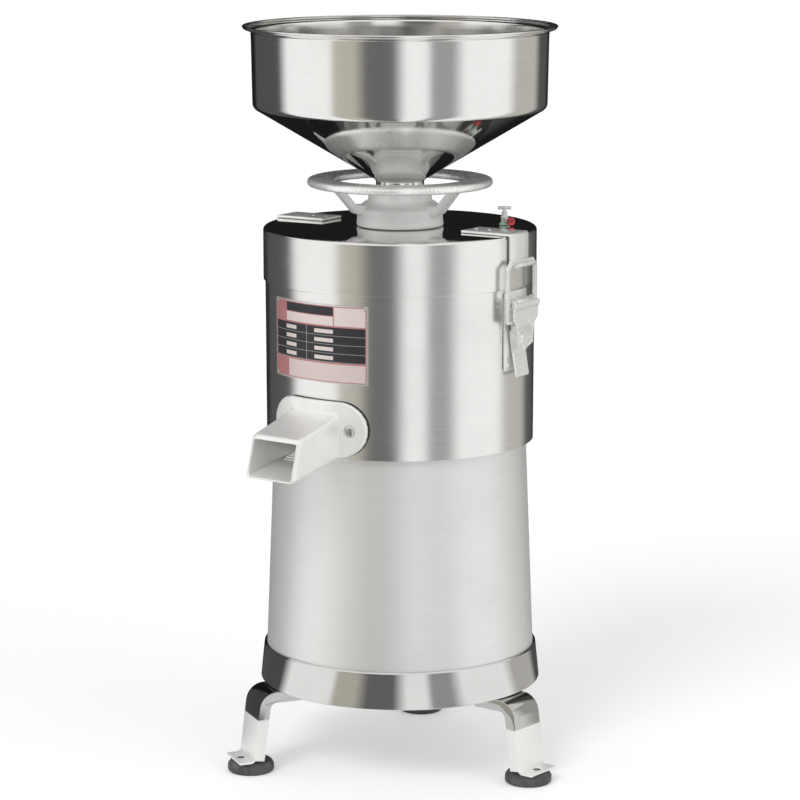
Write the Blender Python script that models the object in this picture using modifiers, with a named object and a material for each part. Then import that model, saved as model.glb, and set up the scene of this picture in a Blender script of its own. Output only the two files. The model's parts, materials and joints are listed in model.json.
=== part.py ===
"""Soy milk grinder with a vertical motor, two grinding stones and a feed hopper.

Every sub-part is one closed object, in metres, with +Z up. The machine stands on
its three foot pads at z = 0. Pieces are modelled at the front of the machine axis
(outward is -Y, +X is tangential) and turned to their place by a parent empty.
"""
import math

import bmesh
import bpy
from mathutils import Matrix, Vector

MM = 0.001
GAP = 0.3 * MM
PIVOT_GAP = 0.3 * MM
LARGE_STEPS = 36
MEDIUM_STEPS = 18
SMALL_STEPS = 10

# Where the machine axis stands, so that the origin is under the middle of its box
AXIS_X = 10.7 * MM
AXIS_Y = -13.0 * MM

# Stand
LEG_ANGLES = (-68.0, 52.0, 172.0)
LEG_WIDTH = 45.0 * MM
LEG_DEPTH = 12.0 * MM
LEG_WALL = 2.2 * MM
LEG_ARM = 50.0 * MM
LEG_STANDOFF = 17.0 * MM
LEG_BEND = 20.0 * MM
LEG_SPLAY = 5.0 * MM
LEG_TAB_LENGTH = 20.0 * MM
LEG_TAB_TOP = 15.7 * MM
LEG_HOLE_OFFSET = 11.5 * MM
PAD_RADIUS = 25.0 * MM
PAD_HEIGHT = 13.2 * MM
PAD_BEVEL = 3.5 * MM
PAD_NUB_RADIUS = 4.0 * MM
PAD_NUB_HEIGHT = 2.6 * MM
BASE_Z = 91.1 * MM
BASE_PLATE_THICK = 4.0 * MM
BASE_RING_TOP_Z = 131.0 * MM
BASE_RING_STEP = 2.4 * MM
BASE_RING_FLARE = 4.6 * MM
BASE_RING_WALL = 1.4 * MM
AIR_SLOTS = 9
AIR_SLOT_LENGTH = 26.0 * MM
AIR_SLOT_WIDTH = 7.0 * MM
AIR_SLOT_R = 45.0 * MM

# Lower casing
CASING_STEP = 7.6 * MM
CASING_TAPER = 0.0393
CASING_WALL = 1.5 * MM

# Chamber
CHAMBER_TOP_R = 144.5 * MM
CHAMBER_WIDENING = 0.6 * MM
CHAMBER_HEIGHT = 180.0 * MM
CHAMBER_SKIN_WALL = 1.2 * MM
BOWL_WALL = 5.5 * MM
BOWL_REBATE = 2.0 * MM
BOWL_FLOOR_RISE = 4.0 * MM
BOWL_SPIGOT = 8.0 * MM
SHELF_RISE = 94.0 * MM
SHELF_THICK = 4.0 * MM
SHELF_WIDTH = 15.9 * MM
SEAL_RADIUS = 22.0 * MM
SEAL_HUB_WALL = 6.0 * MM
SEAL_HUB_HEIGHT = 14.0 * MM

# Cover
COVER_LAP = 7.0 * MM
COVER_RISE = 49.0 * MM
COVER_OVERHANG = 2.0 * MM
COVER_EDGE = 3.5 * MM
COVER_SKIN_WALL = 1.2 * MM
COVER_PLATE_THICK = 10.0 * MM
COVER_RIM_WALL = 8.0 * MM
COVER_GASKET_THICK = 4.0 * MM
BOSS_RADIUS = 40.0 * MM
BOSS_RISE = 12.4 * MM
GUIDE_LENGTH = 66.0 * MM
GUIDE_WALL = 5.6 * MM
RIB_COUNT = 6
RIB_THICK = 5.0 * MM
RIB_HEIGHT = 16.0 * MM

# Feed sleeve, hand wheel and hopper
SLEEVE_RADIUS = 28.0 * MM
SLEEVE_BORE = 22.5 * MM
SLEEVE_FLANGE_R = 36.0 * MM
SLEEVE_FLANGE_THICK = 5.4 * MM
KEY_WIDTH = 6.0 * MM
KEY_HEIGHT = 3.2 * MM
WHEEL_CLEAR = 3.0 * MM
WHEEL_HUB_R = 46.0 * MM
WHEEL_BEAD = 2.0 * MM
WHEEL_HUB_HEIGHT = 23.5 * MM
WHEEL_COLLAR_R = 34.0 * MM
WHEEL_COLLAR_HEIGHT = 14.5 * MM
WHEEL_CEILING = 5.5 * MM
WHEEL_RIM_OUTER_R = 99.4 * MM
WHEEL_RIM_INNER_R = 67.3 * MM
WHEEL_RIM_RISE = 8.7 * MM
WHEEL_RIM_THICK = 7.0 * MM
SPOKE_ANGLES = (-66.5, 53.5, 173.5)
SPOKE_WIDTH = 15.0 * MM
SPOKE_THICK = 8.0 * MM
RETAINER_THICK = 2.1 * MM
HOPPER_RIM_R = 167.5 * MM
HOPPER_WALL_HEIGHT = 84.0 * MM
HOPPER_LIP = 9.6 * MM
HOPPER_WALL_TOP_R = 157.3 * MM
HOPPER_WALL_LOW_R = 155.7 * MM
HOPPER_CONE_HEIGHT = 80.0 * MM
HOPPER_BEND = 8.0 * MM
HOPPER_NECK_R = 24.6 * MM
HOPPER_NECK_RISE = 9.0 * MM
HOPPER_SHEET = 1.2 * MM

# Grinding stones and screen basket
STONE_RADIUS = 50.0 * MM
STONE_THICK = 23.7 * MM
STONE_GRIND_GAP = 0.6 * MM
STONE_FURROWS = 8
FURROW_WIDTH = 4.0 * MM
FURROW_DEPTH = 2.0 * MM
STONE_RISE = 31.3 * MM
NUT_RECESS_R = 18.0 * MM
NUT_RECESS_DEPTH = 7.0 * MM
NUT_RADIUS = 15.0 * MM
NUT_HEIGHT = 10.5 * MM
HOLDER_WALL = 3.7 * MM
HOLDER_SKIRT = 12.0 * MM
HOLDER_PLATE = 9.4 * MM
BASKET_FLOOR_R = 62.0 * MM
BASKET_FLOOR_THICK = 4.0 * MM
BASKET_RUNNING_GAP = 2.0 * MM
BASKET_RIM_RISE = 13.0 * MM
BASKET_FLANGE = 9.0 * MM
BASKET_WALL = 2.0 * MM
BASKET_HUB_R = 26.0 * MM
BASKET_HUB_HEIGHT = 12.0 * MM
SCREEN_SLOTS = 18
SCREEN_SLOT_WIDTH = 5.0 * MM
SCREEN_SLOT_MARGIN = 0.14

# Motor
SHAFT_RADIUS = 12.0 * MM
SHAFT_TAIL = 56.3 * MM
SHAFT_THREAD_R = 10.0 * MM
SHAFT_THREAD_SHOWN = 3.0 * MM
MOTOR_FRAME_R = 88.0 * MM
MOTOR_FRAME_WALL = 6.0 * MM
FAN_SPACE = 65.2 * MM
STATOR_HEIGHT = 100.0 * MM
STATOR_DEPTH = 42.0 * MM
STATOR_SLOTS = 12
STATOR_SLOT_DEPTH = 16.0 * MM
STATOR_SLOT_SHARE = 0.5
AIR_GAP = 0.8 * MM
ROTOR_EXTRA = 5.0 * MM
WINDING_HEIGHT = 18.0 * MM
WINDING_CLEAR_LOW = 7.4 * MM
WINDING_CLEAR_HIGH = 14.4 * MM
WINDING_SETBACK = 6.0 * MM
WINDING_INSET = 14.0 * MM
BEARING_RADIUS = 31.0 * MM
BEARING_WIDTH = 15.0 * MM
BEARING_HOUSING_WALL = 5.0 * MM
SHIELD_WEB = 7.0 * MM
SHIELD_HEIGHT = 30.0 * MM
SHIELD_FLANGE_INSET = 14.3 * MM
SHIELD_FLANGE_THICK = 6.0 * MM
SHIELD_FOOT_COUNT = 4
SHIELD_FOOT_RADIUS = 8.0 * MM
SHIELD_FOOT_INSET = 10.0 * MM
FAN_RADIUS = 62.0 * MM
FAN_HUB_R = 20.0 * MM
FAN_RISE = 2.0 * MM
FAN_HEIGHT = 22.0 * MM
FAN_PLATE = 3.0 * MM
FAN_BLADES = 6
FAN_BLADE_THICK = 3.0 * MM
CAPACITOR_RADIUS = 17.0 * MM
CAPACITOR_HEIGHT = 54.0 * MM
CAPACITOR_CLEAR = 8.0 * MM
CAPACITOR_ANGLE = 120.0

# Outlets
SPOUT_WIDTH = 63.0 * MM
SPOUT_WALL = 4.0 * MM
SPOUT_REACH = 69.0 * MM
SPOUT_MOUTH_LEAN = 9.5 * MM
SPOUT_ROOT_HEIGHT = 48.0 * MM
SPOUT_MOUTH_HEIGHT = 39.2 * MM
SPOUT_DROP = 20.0 * MM
SPOUT_FLANGE_HALF = 61.5 * MM
SPOUT_FLANGE_LOBE = 29.5 * MM
SPOUT_FLANGE_THICK = 5.0 * MM
SPOUT_FLANGE_RISE = 5.0 * MM
SPOUT_GASKET_THICK = 1.2 * MM
SPOUT_SCREW_OFFSET = 41.5 * MM
SPOUT_SCREW_R = 3.0 * MM
SPOUT_SCREW_HEAD_R = 5.2 * MM
SPOUT_SCREW_HEAD = 3.4 * MM
MILK_SPOUT_ANGLE = -37.0
MILK_SPOUT_RISE = 47.0 * MM
RESIDUE_SPOUT_ANGLE = 180.0
RESIDUE_SPOUT_RISE = 51.0 * MM

# Draw latches
LATCH_ANGLES = {"right": 57.0, "left": 237.0}
LATCH_PLATE_WIDTH = 44.0 * MM
LATCH_PLATE_THICK = 1.8 * MM
LATCH_PLATE_HEIGHT = 84.0 * MM
LATCH_PLATE_DROP = 9.0 * MM
LATCH_PIVOT_DROP = 13.0 * MM
LATCH_PIVOT_OUT = 5.2 * MM
LATCH_THROW = 18.0 * MM
LATCH_LOOP_LENGTH = 62.0 * MM
LATCH_EAR_THICK = 2.4 * MM
LATCH_EAR_R = 6.0 * MM
LATCH_EAR_ARC = 70.0
LATCH_PIN_R = 2.2 * MM
LATCH_KNUCKLE_R = 4.6 * MM
LATCH_KNUCKLE_ARC = 20.0
LEVER_WIDTH = 37.0 * MM
LEVER_CHEEK = 2.4 * MM
LEVER_SKIN = 2.0 * MM
LEVER_FACE_OUT = 6.2 * MM
LEVER_BODY_LENGTH = 53.0 * MM
LEVER_TIP_LENGTH = 28.0 * MM
LEVER_TIP_FLARE = 5.0 * MM
LOOP_WIDTH = 60.0 * MM
LOOP_BAR = 5.0 * MM
LOOP_TOP_BAR = 4.0 * MM
LOOP_THICK = 3.0 * MM
LOOP_CHAMFER = 8.0 * MM
STRAP_WIDTH = 36.0 * MM
STRAP_THICK = 2.8 * MM
STRAP_LENGTH = 58.5 * MM
HOOK_THROAT = 4.1 * MM
HOOK_LIP = 1.5 * MM
HOOK_LIP_THICK = 2.8 * MM

# Data plate
PLATE_ANGLE = -38.4
PLATE_WIDTH = 124.0 * MM
PLATE_HEIGHT = 78.5 * MM
PLATE_DROP = 21.0 * MM
PLATE_THICK = 0.6 * MM

# Water valve on the cover
VALVE_INSET = 34.5 * MM
VALVE_ANGLE = 91.5
VALVE_BASE_R = 9.0 * MM
VALVE_BASE_HEIGHT = 4.0 * MM
VALVE_BODY_R = 5.5 * MM
VALVE_BODY_HEIGHT = 14.0 * MM
VALVE_NOZZLE_R = 3.6 * MM
VALVE_NOZZLE_LENGTH = 16.0 * MM
VALVE_NOZZLE_BORE = 2.2 * MM
VALVE_STEM_R = 2.2 * MM
VALVE_STEM_HEIGHT = 4.0 * MM
VALVE_BAR_LENGTH = 15.0 * MM
VALVE_BAR_R = 2.0 * MM

# Switch and cable gland at the back
SWITCH_ANGLE = 150.0
SWITCH_DROP = 121.0 * MM
SWITCH_WIDTH = 24.0 * MM
SWITCH_HEIGHT = 31.0 * MM
SWITCH_DEPTH = 22.0 * MM
SWITCH_FLANGE = 3.0 * MM
SWITCH_FLANGE_THICK = 2.4 * MM
ROCKER_WIDTH = 17.0 * MM
ROCKER_HALF = 11.0 * MM
ROCKER_DEPTH = 6.0 * MM
ROCKER_TILT = 8.0
ROCKER_CLEAR = 1.2 * MM
GLAND_ANGLE = 205.0
GLAND_RISE = 62.9 * MM
GLAND_THREAD_R = 8.0 * MM
GLAND_NUT_R = 12.0 * MM
GLAND_NUT_THICK = 6.0 * MM
GLAND_DOME_LENGTH = 14.0 * MM
GLAND_BORE_R = 4.2 * MM
GLAND_INSIDE = 12.0 * MM

# Heights and radii that follow from the sizes above, from the stand upwards
BASE_PLATE_TOP_Z = BASE_Z + BASE_PLATE_THICK
CASING_BOTTOM_Z = BASE_PLATE_TOP_Z + GAP
GLAND_Z = BASE_PLATE_TOP_Z + GLAND_RISE
MOTOR_FRAME_LOW_Z = BASE_PLATE_TOP_Z + FAN_SPACE
STATOR_LOW_Z = MOTOR_FRAME_LOW_Z + WINDING_CLEAR_LOW + WINDING_HEIGHT + GAP
STATOR_TOP_Z = STATOR_LOW_Z + STATOR_HEIGHT
MOTOR_FRAME_TOP_Z = STATOR_TOP_Z + GAP + WINDING_HEIGHT + WINDING_CLEAR_HIGH
SHAFT_BOTTOM_Z = MOTOR_FRAME_LOW_Z - SHAFT_TAIL
FAN_LOW_Z = SHAFT_BOTTOM_Z + FAN_RISE
SHIELD_TOP_Z = MOTOR_FRAME_TOP_Z + GAP + SHIELD_HEIGHT
BOWL_BOTTOM_Z = SHIELD_TOP_Z + GAP
CHAMBER_BOTTOM_Z = BOWL_BOTTOM_Z + BOWL_SPIGOT
CASING_TOP_Z = CHAMBER_BOTTOM_Z - GAP
SWITCH_Z = CASING_TOP_Z - SWITCH_DROP
CHAMBER_TOP_Z = CASING_TOP_Z + CHAMBER_HEIGHT
BOWL_TOP_Z = CHAMBER_TOP_Z - BOWL_REBATE
BOWL_FLOOR_Z = CASING_TOP_Z + BOWL_FLOOR_RISE
SHELF_Z = BOWL_FLOOR_Z + SHELF_RISE
MILK_SPOUT_TOP_Z = BOWL_FLOOR_Z + MILK_SPOUT_RISE
RESIDUE_SPOUT_TOP_Z = SHELF_Z + RESIDUE_SPOUT_RISE
GASKET_LOW_Z = BOWL_TOP_Z + GAP
COVER_RIM_LOW_Z = GASKET_LOW_Z + COVER_GASKET_THICK + GAP
COVER_SEAM_Z = CHAMBER_TOP_Z - COVER_LAP
COVER_TOP_Z = CHAMBER_TOP_Z + COVER_RISE
COVER_PLATE_TOP_Z = COVER_TOP_Z - COVER_SKIN_WALL - GAP
COVER_PLATE_LOW_Z = COVER_PLATE_TOP_Z - COVER_PLATE_THICK
BOSS_TOP_Z = COVER_TOP_Z + BOSS_RISE
GUIDE_BOTTOM_Z = COVER_TOP_Z - GUIDE_LENGTH
WHEEL_BOTTOM_Z = COVER_TOP_Z + WHEEL_CLEAR
WHEEL_SHOULDER_Z = WHEEL_BOTTOM_Z + WHEEL_HUB_HEIGHT
WHEEL_CEILING_Z = WHEEL_SHOULDER_Z - WHEEL_CEILING
WHEEL_COLLAR_TOP_Z = WHEEL_SHOULDER_Z + WHEEL_COLLAR_HEIGHT
WHEEL_RIM_TOP_Z = WHEEL_COLLAR_TOP_Z + WHEEL_RIM_RISE
HOPPER_NECK_TOP_Z = WHEEL_COLLAR_TOP_Z + HOPPER_NECK_RISE
HOPPER_BEND_Z = HOPPER_NECK_TOP_Z + HOPPER_CONE_HEIGHT
HOPPER_TOP_Z = HOPPER_BEND_Z + HOPPER_WALL_HEIGHT
SLEEVE_TOP_Z = WHEEL_CEILING_Z - GAP
SLEEVE_FLANGE_LOW_Z = SLEEVE_TOP_Z - SLEEVE_FLANGE_THICK
RETAINER_TOP_Z = SLEEVE_FLANGE_LOW_Z - GAP
NECK_LOW_Z = SLEEVE_TOP_Z + GAP
LOWER_STONE_Z = BOWL_FLOOR_Z + STONE_RISE
STONE_FACE_Z = LOWER_STONE_Z + STONE_THICK
UPPER_STONE_Z = STONE_FACE_Z + STONE_GRIND_GAP
UPPER_STONE_TOP_Z = UPPER_STONE_Z + STONE_THICK
HOLDER_LOW_Z = UPPER_STONE_TOP_Z + GAP
SLEEVE_BOTTOM_Z = HOLDER_LOW_Z + HOLDER_PLATE + GAP
NUT_LOW_Z = STONE_FACE_Z - NUT_RECESS_DEPTH + GAP
SHAFT_TOP_Z = NUT_LOW_Z + NUT_HEIGHT + SHAFT_THREAD_SHOWN
BASKET_FLOOR_TOP_Z = LOWER_STONE_Z - GAP
BASKET_RIM_Z = SHELF_Z + BASKET_RIM_RISE
PLATE_TOP_Z = CHAMBER_TOP_Z - PLATE_DROP
PLATE_LOW_Z = PLATE_TOP_Z - PLATE_HEIGHT
LATCH_PLATE_TOP_Z = CHAMBER_TOP_Z - LATCH_PLATE_DROP
LATCH_PLATE_LOW_Z = LATCH_PLATE_TOP_Z - LATCH_PLATE_HEIGHT
LATCH_PIVOT_Z = LATCH_PLATE_TOP_Z - LATCH_PIVOT_DROP
LOOP_PIVOT_Z = LATCH_PIVOT_Z - LATCH_THROW
LEVER_BODY_LOW_Z = LATCH_PIVOT_Z - LEVER_BODY_LENGTH
LEVER_TIP_Z = LEVER_BODY_LOW_Z - LEVER_TIP_LENGTH
LOOP_TOP_Z = LOOP_PIVOT_Z + LATCH_LOOP_LENGTH + LOOP_TOP_BAR / 2
STRAP_LOW_TOP_Z = COVER_TOP_Z + GAP

CHAMBER_BOTTOM_R = CHAMBER_TOP_R - CHAMBER_WIDENING
CASING_TOP_R = CHAMBER_BOTTOM_R - CASING_STEP
BASE_RING_TOP_R = CASING_TOP_R + (CASING_TOP_Z - BASE_RING_TOP_Z) * CASING_TAPER + BASE_RING_STEP
BASE_RING_BOTTOM_R = BASE_RING_TOP_R + BASE_RING_FLARE
LEG_SHOULDER_R = BASE_RING_BOTTOM_R + LEG_STANDOFF
LEG_INNER_R = LEG_SHOULDER_R - LEG_ARM
LEG_FOOT_R = LEG_SHOULDER_R + LEG_SPLAY
LEG_TAB_R = LEG_FOOT_R + LEG_TAB_LENGTH
LEG_TAB_HOLE_R = LEG_FOOT_R + LEG_HOLE_OFFSET
STATOR_BORE = MOTOR_FRAME_R - STATOR_DEPTH
WINDING_INNER_R = STATOR_BORE + WINDING_SETBACK
WINDING_OUTER_R = MOTOR_FRAME_R - WINDING_INSET
SHIELD_FOOT_R = MOTOR_FRAME_R - SHIELD_FOOT_INSET
SHIELD_FLANGE_R = CASING_TOP_R - SHIELD_FLANGE_INSET
SHAFT_BORE = SHAFT_RADIUS + PIVOT_GAP
SHELF_INNER_R = CHAMBER_BOTTOM_R - CHAMBER_SKIN_WALL - GAP - BOWL_WALL - SHELF_WIDTH
BASKET_RIM_R = SHELF_INNER_R - BASKET_RUNNING_GAP - BASKET_FLANGE
COVER_RADIUS = CHAMBER_TOP_R + COVER_OVERHANG
GUIDE_BORE = SLEEVE_RADIUS + PIVOT_GAP
HUB_BORE = BOSS_RADIUS + PIVOT_GAP
VALVE_R = COVER_RADIUS - VALVE_INSET
STRAP_INNER_R = COVER_RADIUS - STRAP_LENGTH
STRAP_SIDE_R = COVER_RADIUS + GAP
SPOUT_TOP_R = CHAMBER_TOP_R + SPOUT_REACH
SPOUT_BOTTOM_R = SPOUT_TOP_R + SPOUT_MOUTH_LEAN
LATCH_PLATE_R = CHAMBER_TOP_R + GAP
LATCH_PIVOT_R = LATCH_PLATE_R + LATCH_PLATE_THICK + LATCH_PIVOT_OUT

# Planes in which flat outlines are drawn: (r, z), (tangential, z) and level
RADIAL_PLANE = Matrix(((0, 0, -1, 0), (-1, 0, 0, 0), (0, 1, 0, 0), (0, 0, 0, 1)))
FACING_PLANE = Matrix(((1, 0, 0, 0), (0, 0, -1, 0), (0, 1, 0, 0), (0, 0, 0, 1)))
LEVEL_PLANE = Matrix.Identity(4)
OUTWARD_AXIS = Matrix.Rotation(math.radians(90), 4, "X")
TANGENT_AXIS = Matrix.Rotation(math.radians(90), 4, "Y")

FINISHES = {
    "polished_steel": ((0.72, 0.72, 0.71), 0.12, 1.0),
    "brushed_steel": ((0.62, 0.62, 0.61), 0.32, 1.0),
    "satin_casing": ((0.66, 0.66, 0.64), 0.45, 1.0),
    "cast_aluminium": ((0.70, 0.70, 0.68), 0.50, 1.0),
    "machined_steel": ((0.50, 0.50, 0.50), 0.30, 1.0),
    "lamination_steel": ((0.30, 0.30, 0.32), 0.50, 1.0),
    "copper_winding": ((0.60, 0.26, 0.12), 0.40, 0.8),
    "grinding_stone": ((0.55, 0.52, 0.47), 0.90, 0.0),
    "pad_rubber": ((0.06, 0.06, 0.06), 0.75, 0.0),
    "seal_rubber": ((0.10, 0.10, 0.10), 0.65, 0.0),
    "black_plastic": ((0.04, 0.04, 0.04), 0.40, 0.0),
    "white_plastic": ((0.80, 0.80, 0.78), 0.35, 0.0),
    "plate_foil": ((0.70, 0.60, 0.58), 0.35, 0.6),
}


# Scene set-up

def clear_scene():
    for item in list(bpy.data.objects):
        bpy.data.objects.remove(item, do_unlink=True)


def new_collection(name):
    collection = bpy.data.collections.new(name)
    bpy.context.scene.collection.children.link(collection)
    return collection


def finish_material(name):
    """Principled material of one finish, made once and then shared."""
    material = bpy.data.materials.get(name)
    if material:
        return material
    colour, roughness, metallic = FINISHES[name]
    material = bpy.data.materials.new(name)
    material.use_nodes = True
    shader = material.node_tree.nodes["Principled BSDF"]
    shader.inputs["Base Color"].default_value = (*colour, 1.0)
    shader.inputs["Roughness"].default_value = roughness
    shader.inputs["Metallic"].default_value = metallic
    return material


clear_scene()
PARTS = new_collection("soy_milk_grinder")
CUTTERS = new_collection("cutters")


def empty(name, location=(0, 0, 0), angle=0.0, parent=None):
    """Parent empty; the angle turns its front, which is -Y, towards +X."""
    item = bpy.data.objects.new(name, None)
    item.location = location
    item.rotation_euler.z = math.radians(angle)
    item.parent = parent
    CUTTERS.objects.link(item)
    return item


MACHINE = empty("machine_axis", (AXIS_X, AXIS_Y, 0))


def add_part(name, mesh, finish, parent=MACHINE, origin=(0, 0, 0)):
    """Link a sub-part, with its origin moved onto its joint or fixing point."""
    place = Vector(origin)
    mesh.transform(Matrix.Translation(-place))
    part = bpy.data.objects.new(name, mesh)
    part.location = place
    part.parent = parent
    part.data.materials.append(finish_material(finish))
    PARTS.objects.link(part)
    return part


def add_cutter(name, mesh, parent=MACHINE):
    cutter = bpy.data.objects.new(name, mesh)
    cutter.parent = parent
    cutter.hide_render = True
    cutter.display_type = "WIRE"
    CUTTERS.objects.link(cutter)
    return cutter


def combine(part, tool, operation):
    step = part.modifiers.new(tool.name, "BOOLEAN")
    step.operation = operation
    step.object = tool
    step.solver = "EXACT"


def cut(part, tool):
    combine(part, tool, "DIFFERENCE")


def join(part, tool):
    combine(part, tool, "UNION")


# Shapes

def turned_mesh(name, profile, closed=True):
    """Profile of (r, z) points in the XZ plane, ready for a Screw modifier."""
    mesh = bpy.data.meshes.new(name)
    count = len(profile)
    edges = [(i, i + 1) for i in range(count - 1)]
    if closed:
        edges.append((count - 1, 0))
    mesh.from_pydata([(r, 0, z) for r, z in profile], edges, [])
    return mesh


def screw(item, steps):
    turn = item.modifiers.new("turn", "SCREW")
    turn.angle = math.tau
    turn.steps = steps
    turn.render_steps = steps
    turn.use_merge_vertices = True
    turn.merge_threshold = 0.00001


def turned(name, profile, finish, steps=LARGE_STEPS, parent=MACHINE, closed=True, origin=(0, 0, 0)):
    """Turned part. The profile runs down its outer side and back up its inner side."""
    part = add_part(name, turned_mesh(name, profile, closed), finish, parent, origin)
    screw(part, steps)
    return part


def turned_cutter(name, profile, steps=LARGE_STEPS, parent=MACHINE, closed=True):
    cutter = add_cutter(name, turned_mesh(name, profile, closed), parent)
    screw(cutter, steps)
    return cutter


def ring_profile(outer, inner, low, high):
    return [(outer, high), (outer, low), (inner, low), (inner, high)]


def offset_path(path, distance):
    """Open path of (r, z) points, moved to its right by a distance, with mitred corners."""
    moved = []
    for i, point in enumerate(path):
        here = Vector(point)
        sides = []
        if i > 0:
            sides.append((here - Vector(path[i - 1])).normalized())
        if i < len(path) - 1:
            sides.append((Vector(path[i + 1]) - here).normalized())
        normals = [Vector((side.y, -side.x)) for side in sides]
        middle = sum(normals, Vector((0, 0))).normalized()
        moved.append(tuple(here - middle * (-distance / middle.dot(normals[0]))))
    return moved


def shell_profile(path, wall):
    """Closed profile of a sheet whose outer face runs down the path."""
    return list(path) + offset_path(path, wall)[::-1]


def arc(centre, radius, start, end, steps):
    """Points on an arc, with angles in degrees."""
    points = []
    for i in range(steps + 1):
        angle = math.radians(start + (end - start) * i / steps)
        points.append((centre[0] + radius * math.cos(angle), centre[1] + radius * math.sin(angle)))
    return points


def outline_mesh(name, outlines, thickness, plane, centre=(0, 0, 0)):
    """Flat outlines, the first solid and the others holes, thickened both ways."""
    curve = bpy.data.curves.new(name, "CURVE")
    curve.dimensions = "2D"
    curve.fill_mode = "BOTH"
    curve.extrude = thickness / 2
    for outline in outlines:
        spline = curve.splines.new("POLY")
        spline.points.add(len(outline) - 1)
        for point, (x, y) in zip(spline.points, outline):
            point.co = (x, y, 0, 1)
        spline.use_cyclic_u = True
    holder = bpy.data.objects.new(name, curve)
    bpy.context.scene.collection.objects.link(holder)
    bpy.context.view_layer.update()
    graph = bpy.context.evaluated_depsgraph_get()
    mesh = bpy.data.meshes.new_from_object(holder.evaluated_get(graph))
    bpy.data.objects.remove(holder, do_unlink=True)
    weld(mesh)
    mesh.transform(Matrix.Translation(centre) @ plane)
    return mesh


def weld(mesh):
    shape = bmesh.new()
    shape.from_mesh(mesh)
    bmesh.ops.remove_doubles(shape, verts=shape.verts, dist=0.00001)
    bmesh.ops.recalc_face_normals(shape, faces=shape.faces)
    shape.to_mesh(mesh)
    shape.free()


def rod_mesh(name, radius, length, centre, axis=Matrix.Identity(4), steps=SMALL_STEPS, tip=None):
    """Straight rod along +Z, turned by a matrix and centred on a point."""
    shape = bmesh.new()
    top = radius if tip is None else tip
    place = Matrix.Translation(centre) @ axis
    bmesh.ops.create_cone(shape, cap_ends=True, segments=steps, radius1=radius, radius2=top,
                          depth=length, matrix=place)
    mesh = bpy.data.meshes.new(name)
    shape.to_mesh(mesh)
    shape.free()
    return mesh


def box_mesh(name, size, centre, turn=Matrix.Identity(4)):
    shape = bmesh.new()
    place = turn @ Matrix.Translation(centre) @ Matrix.Diagonal((*size, 1))
    bmesh.ops.create_cube(shape, size=1, matrix=place)
    mesh = bpy.data.meshes.new(name)
    shape.to_mesh(mesh)
    shape.free()
    return mesh


def round_copies(name, mesh, count, start=0.0):
    """One mesh holding copies of another, spaced round the machine axis."""
    shape = bmesh.new()
    for i in range(count):
        copy = mesh.copy()
        copy.transform(Matrix.Rotation(math.radians(start) + math.tau * i / count, 4, "Z"))
        shape.from_mesh(copy)
        bpy.data.meshes.remove(copy)
    joined = bpy.data.meshes.new(name)
    shape.to_mesh(joined)
    shape.free()
    return joined


def casing_radius(z):
    return CASING_TOP_R + (CASING_TOP_Z - z) * CASING_TAPER


def chamber_radius(z):
    share = (z - CHAMBER_BOTTOM_Z) / (CHAMBER_TOP_Z - CHAMBER_BOTTOM_Z)
    return CHAMBER_BOTTOM_R + (CHAMBER_TOP_R - CHAMBER_BOTTOM_R) * share


def bowl_radius(z):
    return chamber_radius(z) - CHAMBER_SKIN_WALL - GAP


# Stand

def leg_path():
    """Outer face of a leg, from under the base plate to its foot, as (r, z) points."""
    top = BASE_Z - GAP
    bend_r = LEG_SHOULDER_R - LEG_BEND
    bend = arc((bend_r, top - LEG_BEND), LEG_BEND, 90, 0, 5)
    return [(LEG_INNER_R, top)] + bend + [(LEG_FOOT_R, LEG_TAB_TOP - LEG_WALL / 2)]


def build_legs():
    path = leg_path()
    inner = offset_path(path, LEG_DEPTH)
    hollow_out = offset_path(path, LEG_WALL)
    hollow_in = offset_path(path, 2 * LEG_DEPTH)
    hollow_in[0] = (path[0][0] - LEG_DEPTH, hollow_in[0][1])
    hollow_out[0] = (path[0][0] - LEG_DEPTH, hollow_out[0][1])
    channel = outline_mesh("leg_channel", [path + inner[::-1]], LEG_WIDTH, RADIAL_PLANE)
    trough_outline = hollow_out + hollow_in[::-1]
    trough = outline_mesh("leg_trough", [trough_outline], LEG_WIDTH - 2 * LEG_WALL, RADIAL_PLANE)
    tab_inner = LEG_FOOT_R - LEG_DEPTH
    tab_outline = [(tab_inner, -LEG_WIDTH / 2), (LEG_TAB_R, -LEG_WIDTH / 2),
                   (LEG_TAB_R, LEG_WIDTH / 2), (tab_inner, LEG_WIDTH / 2)]
    quarter = Matrix.Rotation(math.radians(-90), 4, "Z")
    tab_centre = (0, 0, LEG_TAB_TOP - LEG_WALL / 2)
    tab = outline_mesh("leg_tab", [tab_outline], LEG_WALL, quarter, tab_centre)
    hole_place = (0, -LEG_TAB_HOLE_R, LEG_TAB_TOP)
    hole = rod_mesh("leg_hole", PAD_NUB_RADIUS + PIVOT_GAP, 4 * LEG_WALL, hole_place, steps=SMALL_STEPS)
    for number, angle in enumerate(LEG_ANGLES, 1):
        station = empty(f"leg_station_{number}", angle=angle, parent=MACHINE)
        leg = add_part(f"leg_{number}", channel if number == 1 else channel.copy(), "polished_steel", station)
        cut(leg, add_cutter(f"leg_trough_{number}", trough, station))
        join(leg, add_cutter(f"leg_tab_{number}", tab, station))
        cut(leg, add_cutter(f"leg_hole_{number}", hole, station))
        build_pad(number, station)


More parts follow.
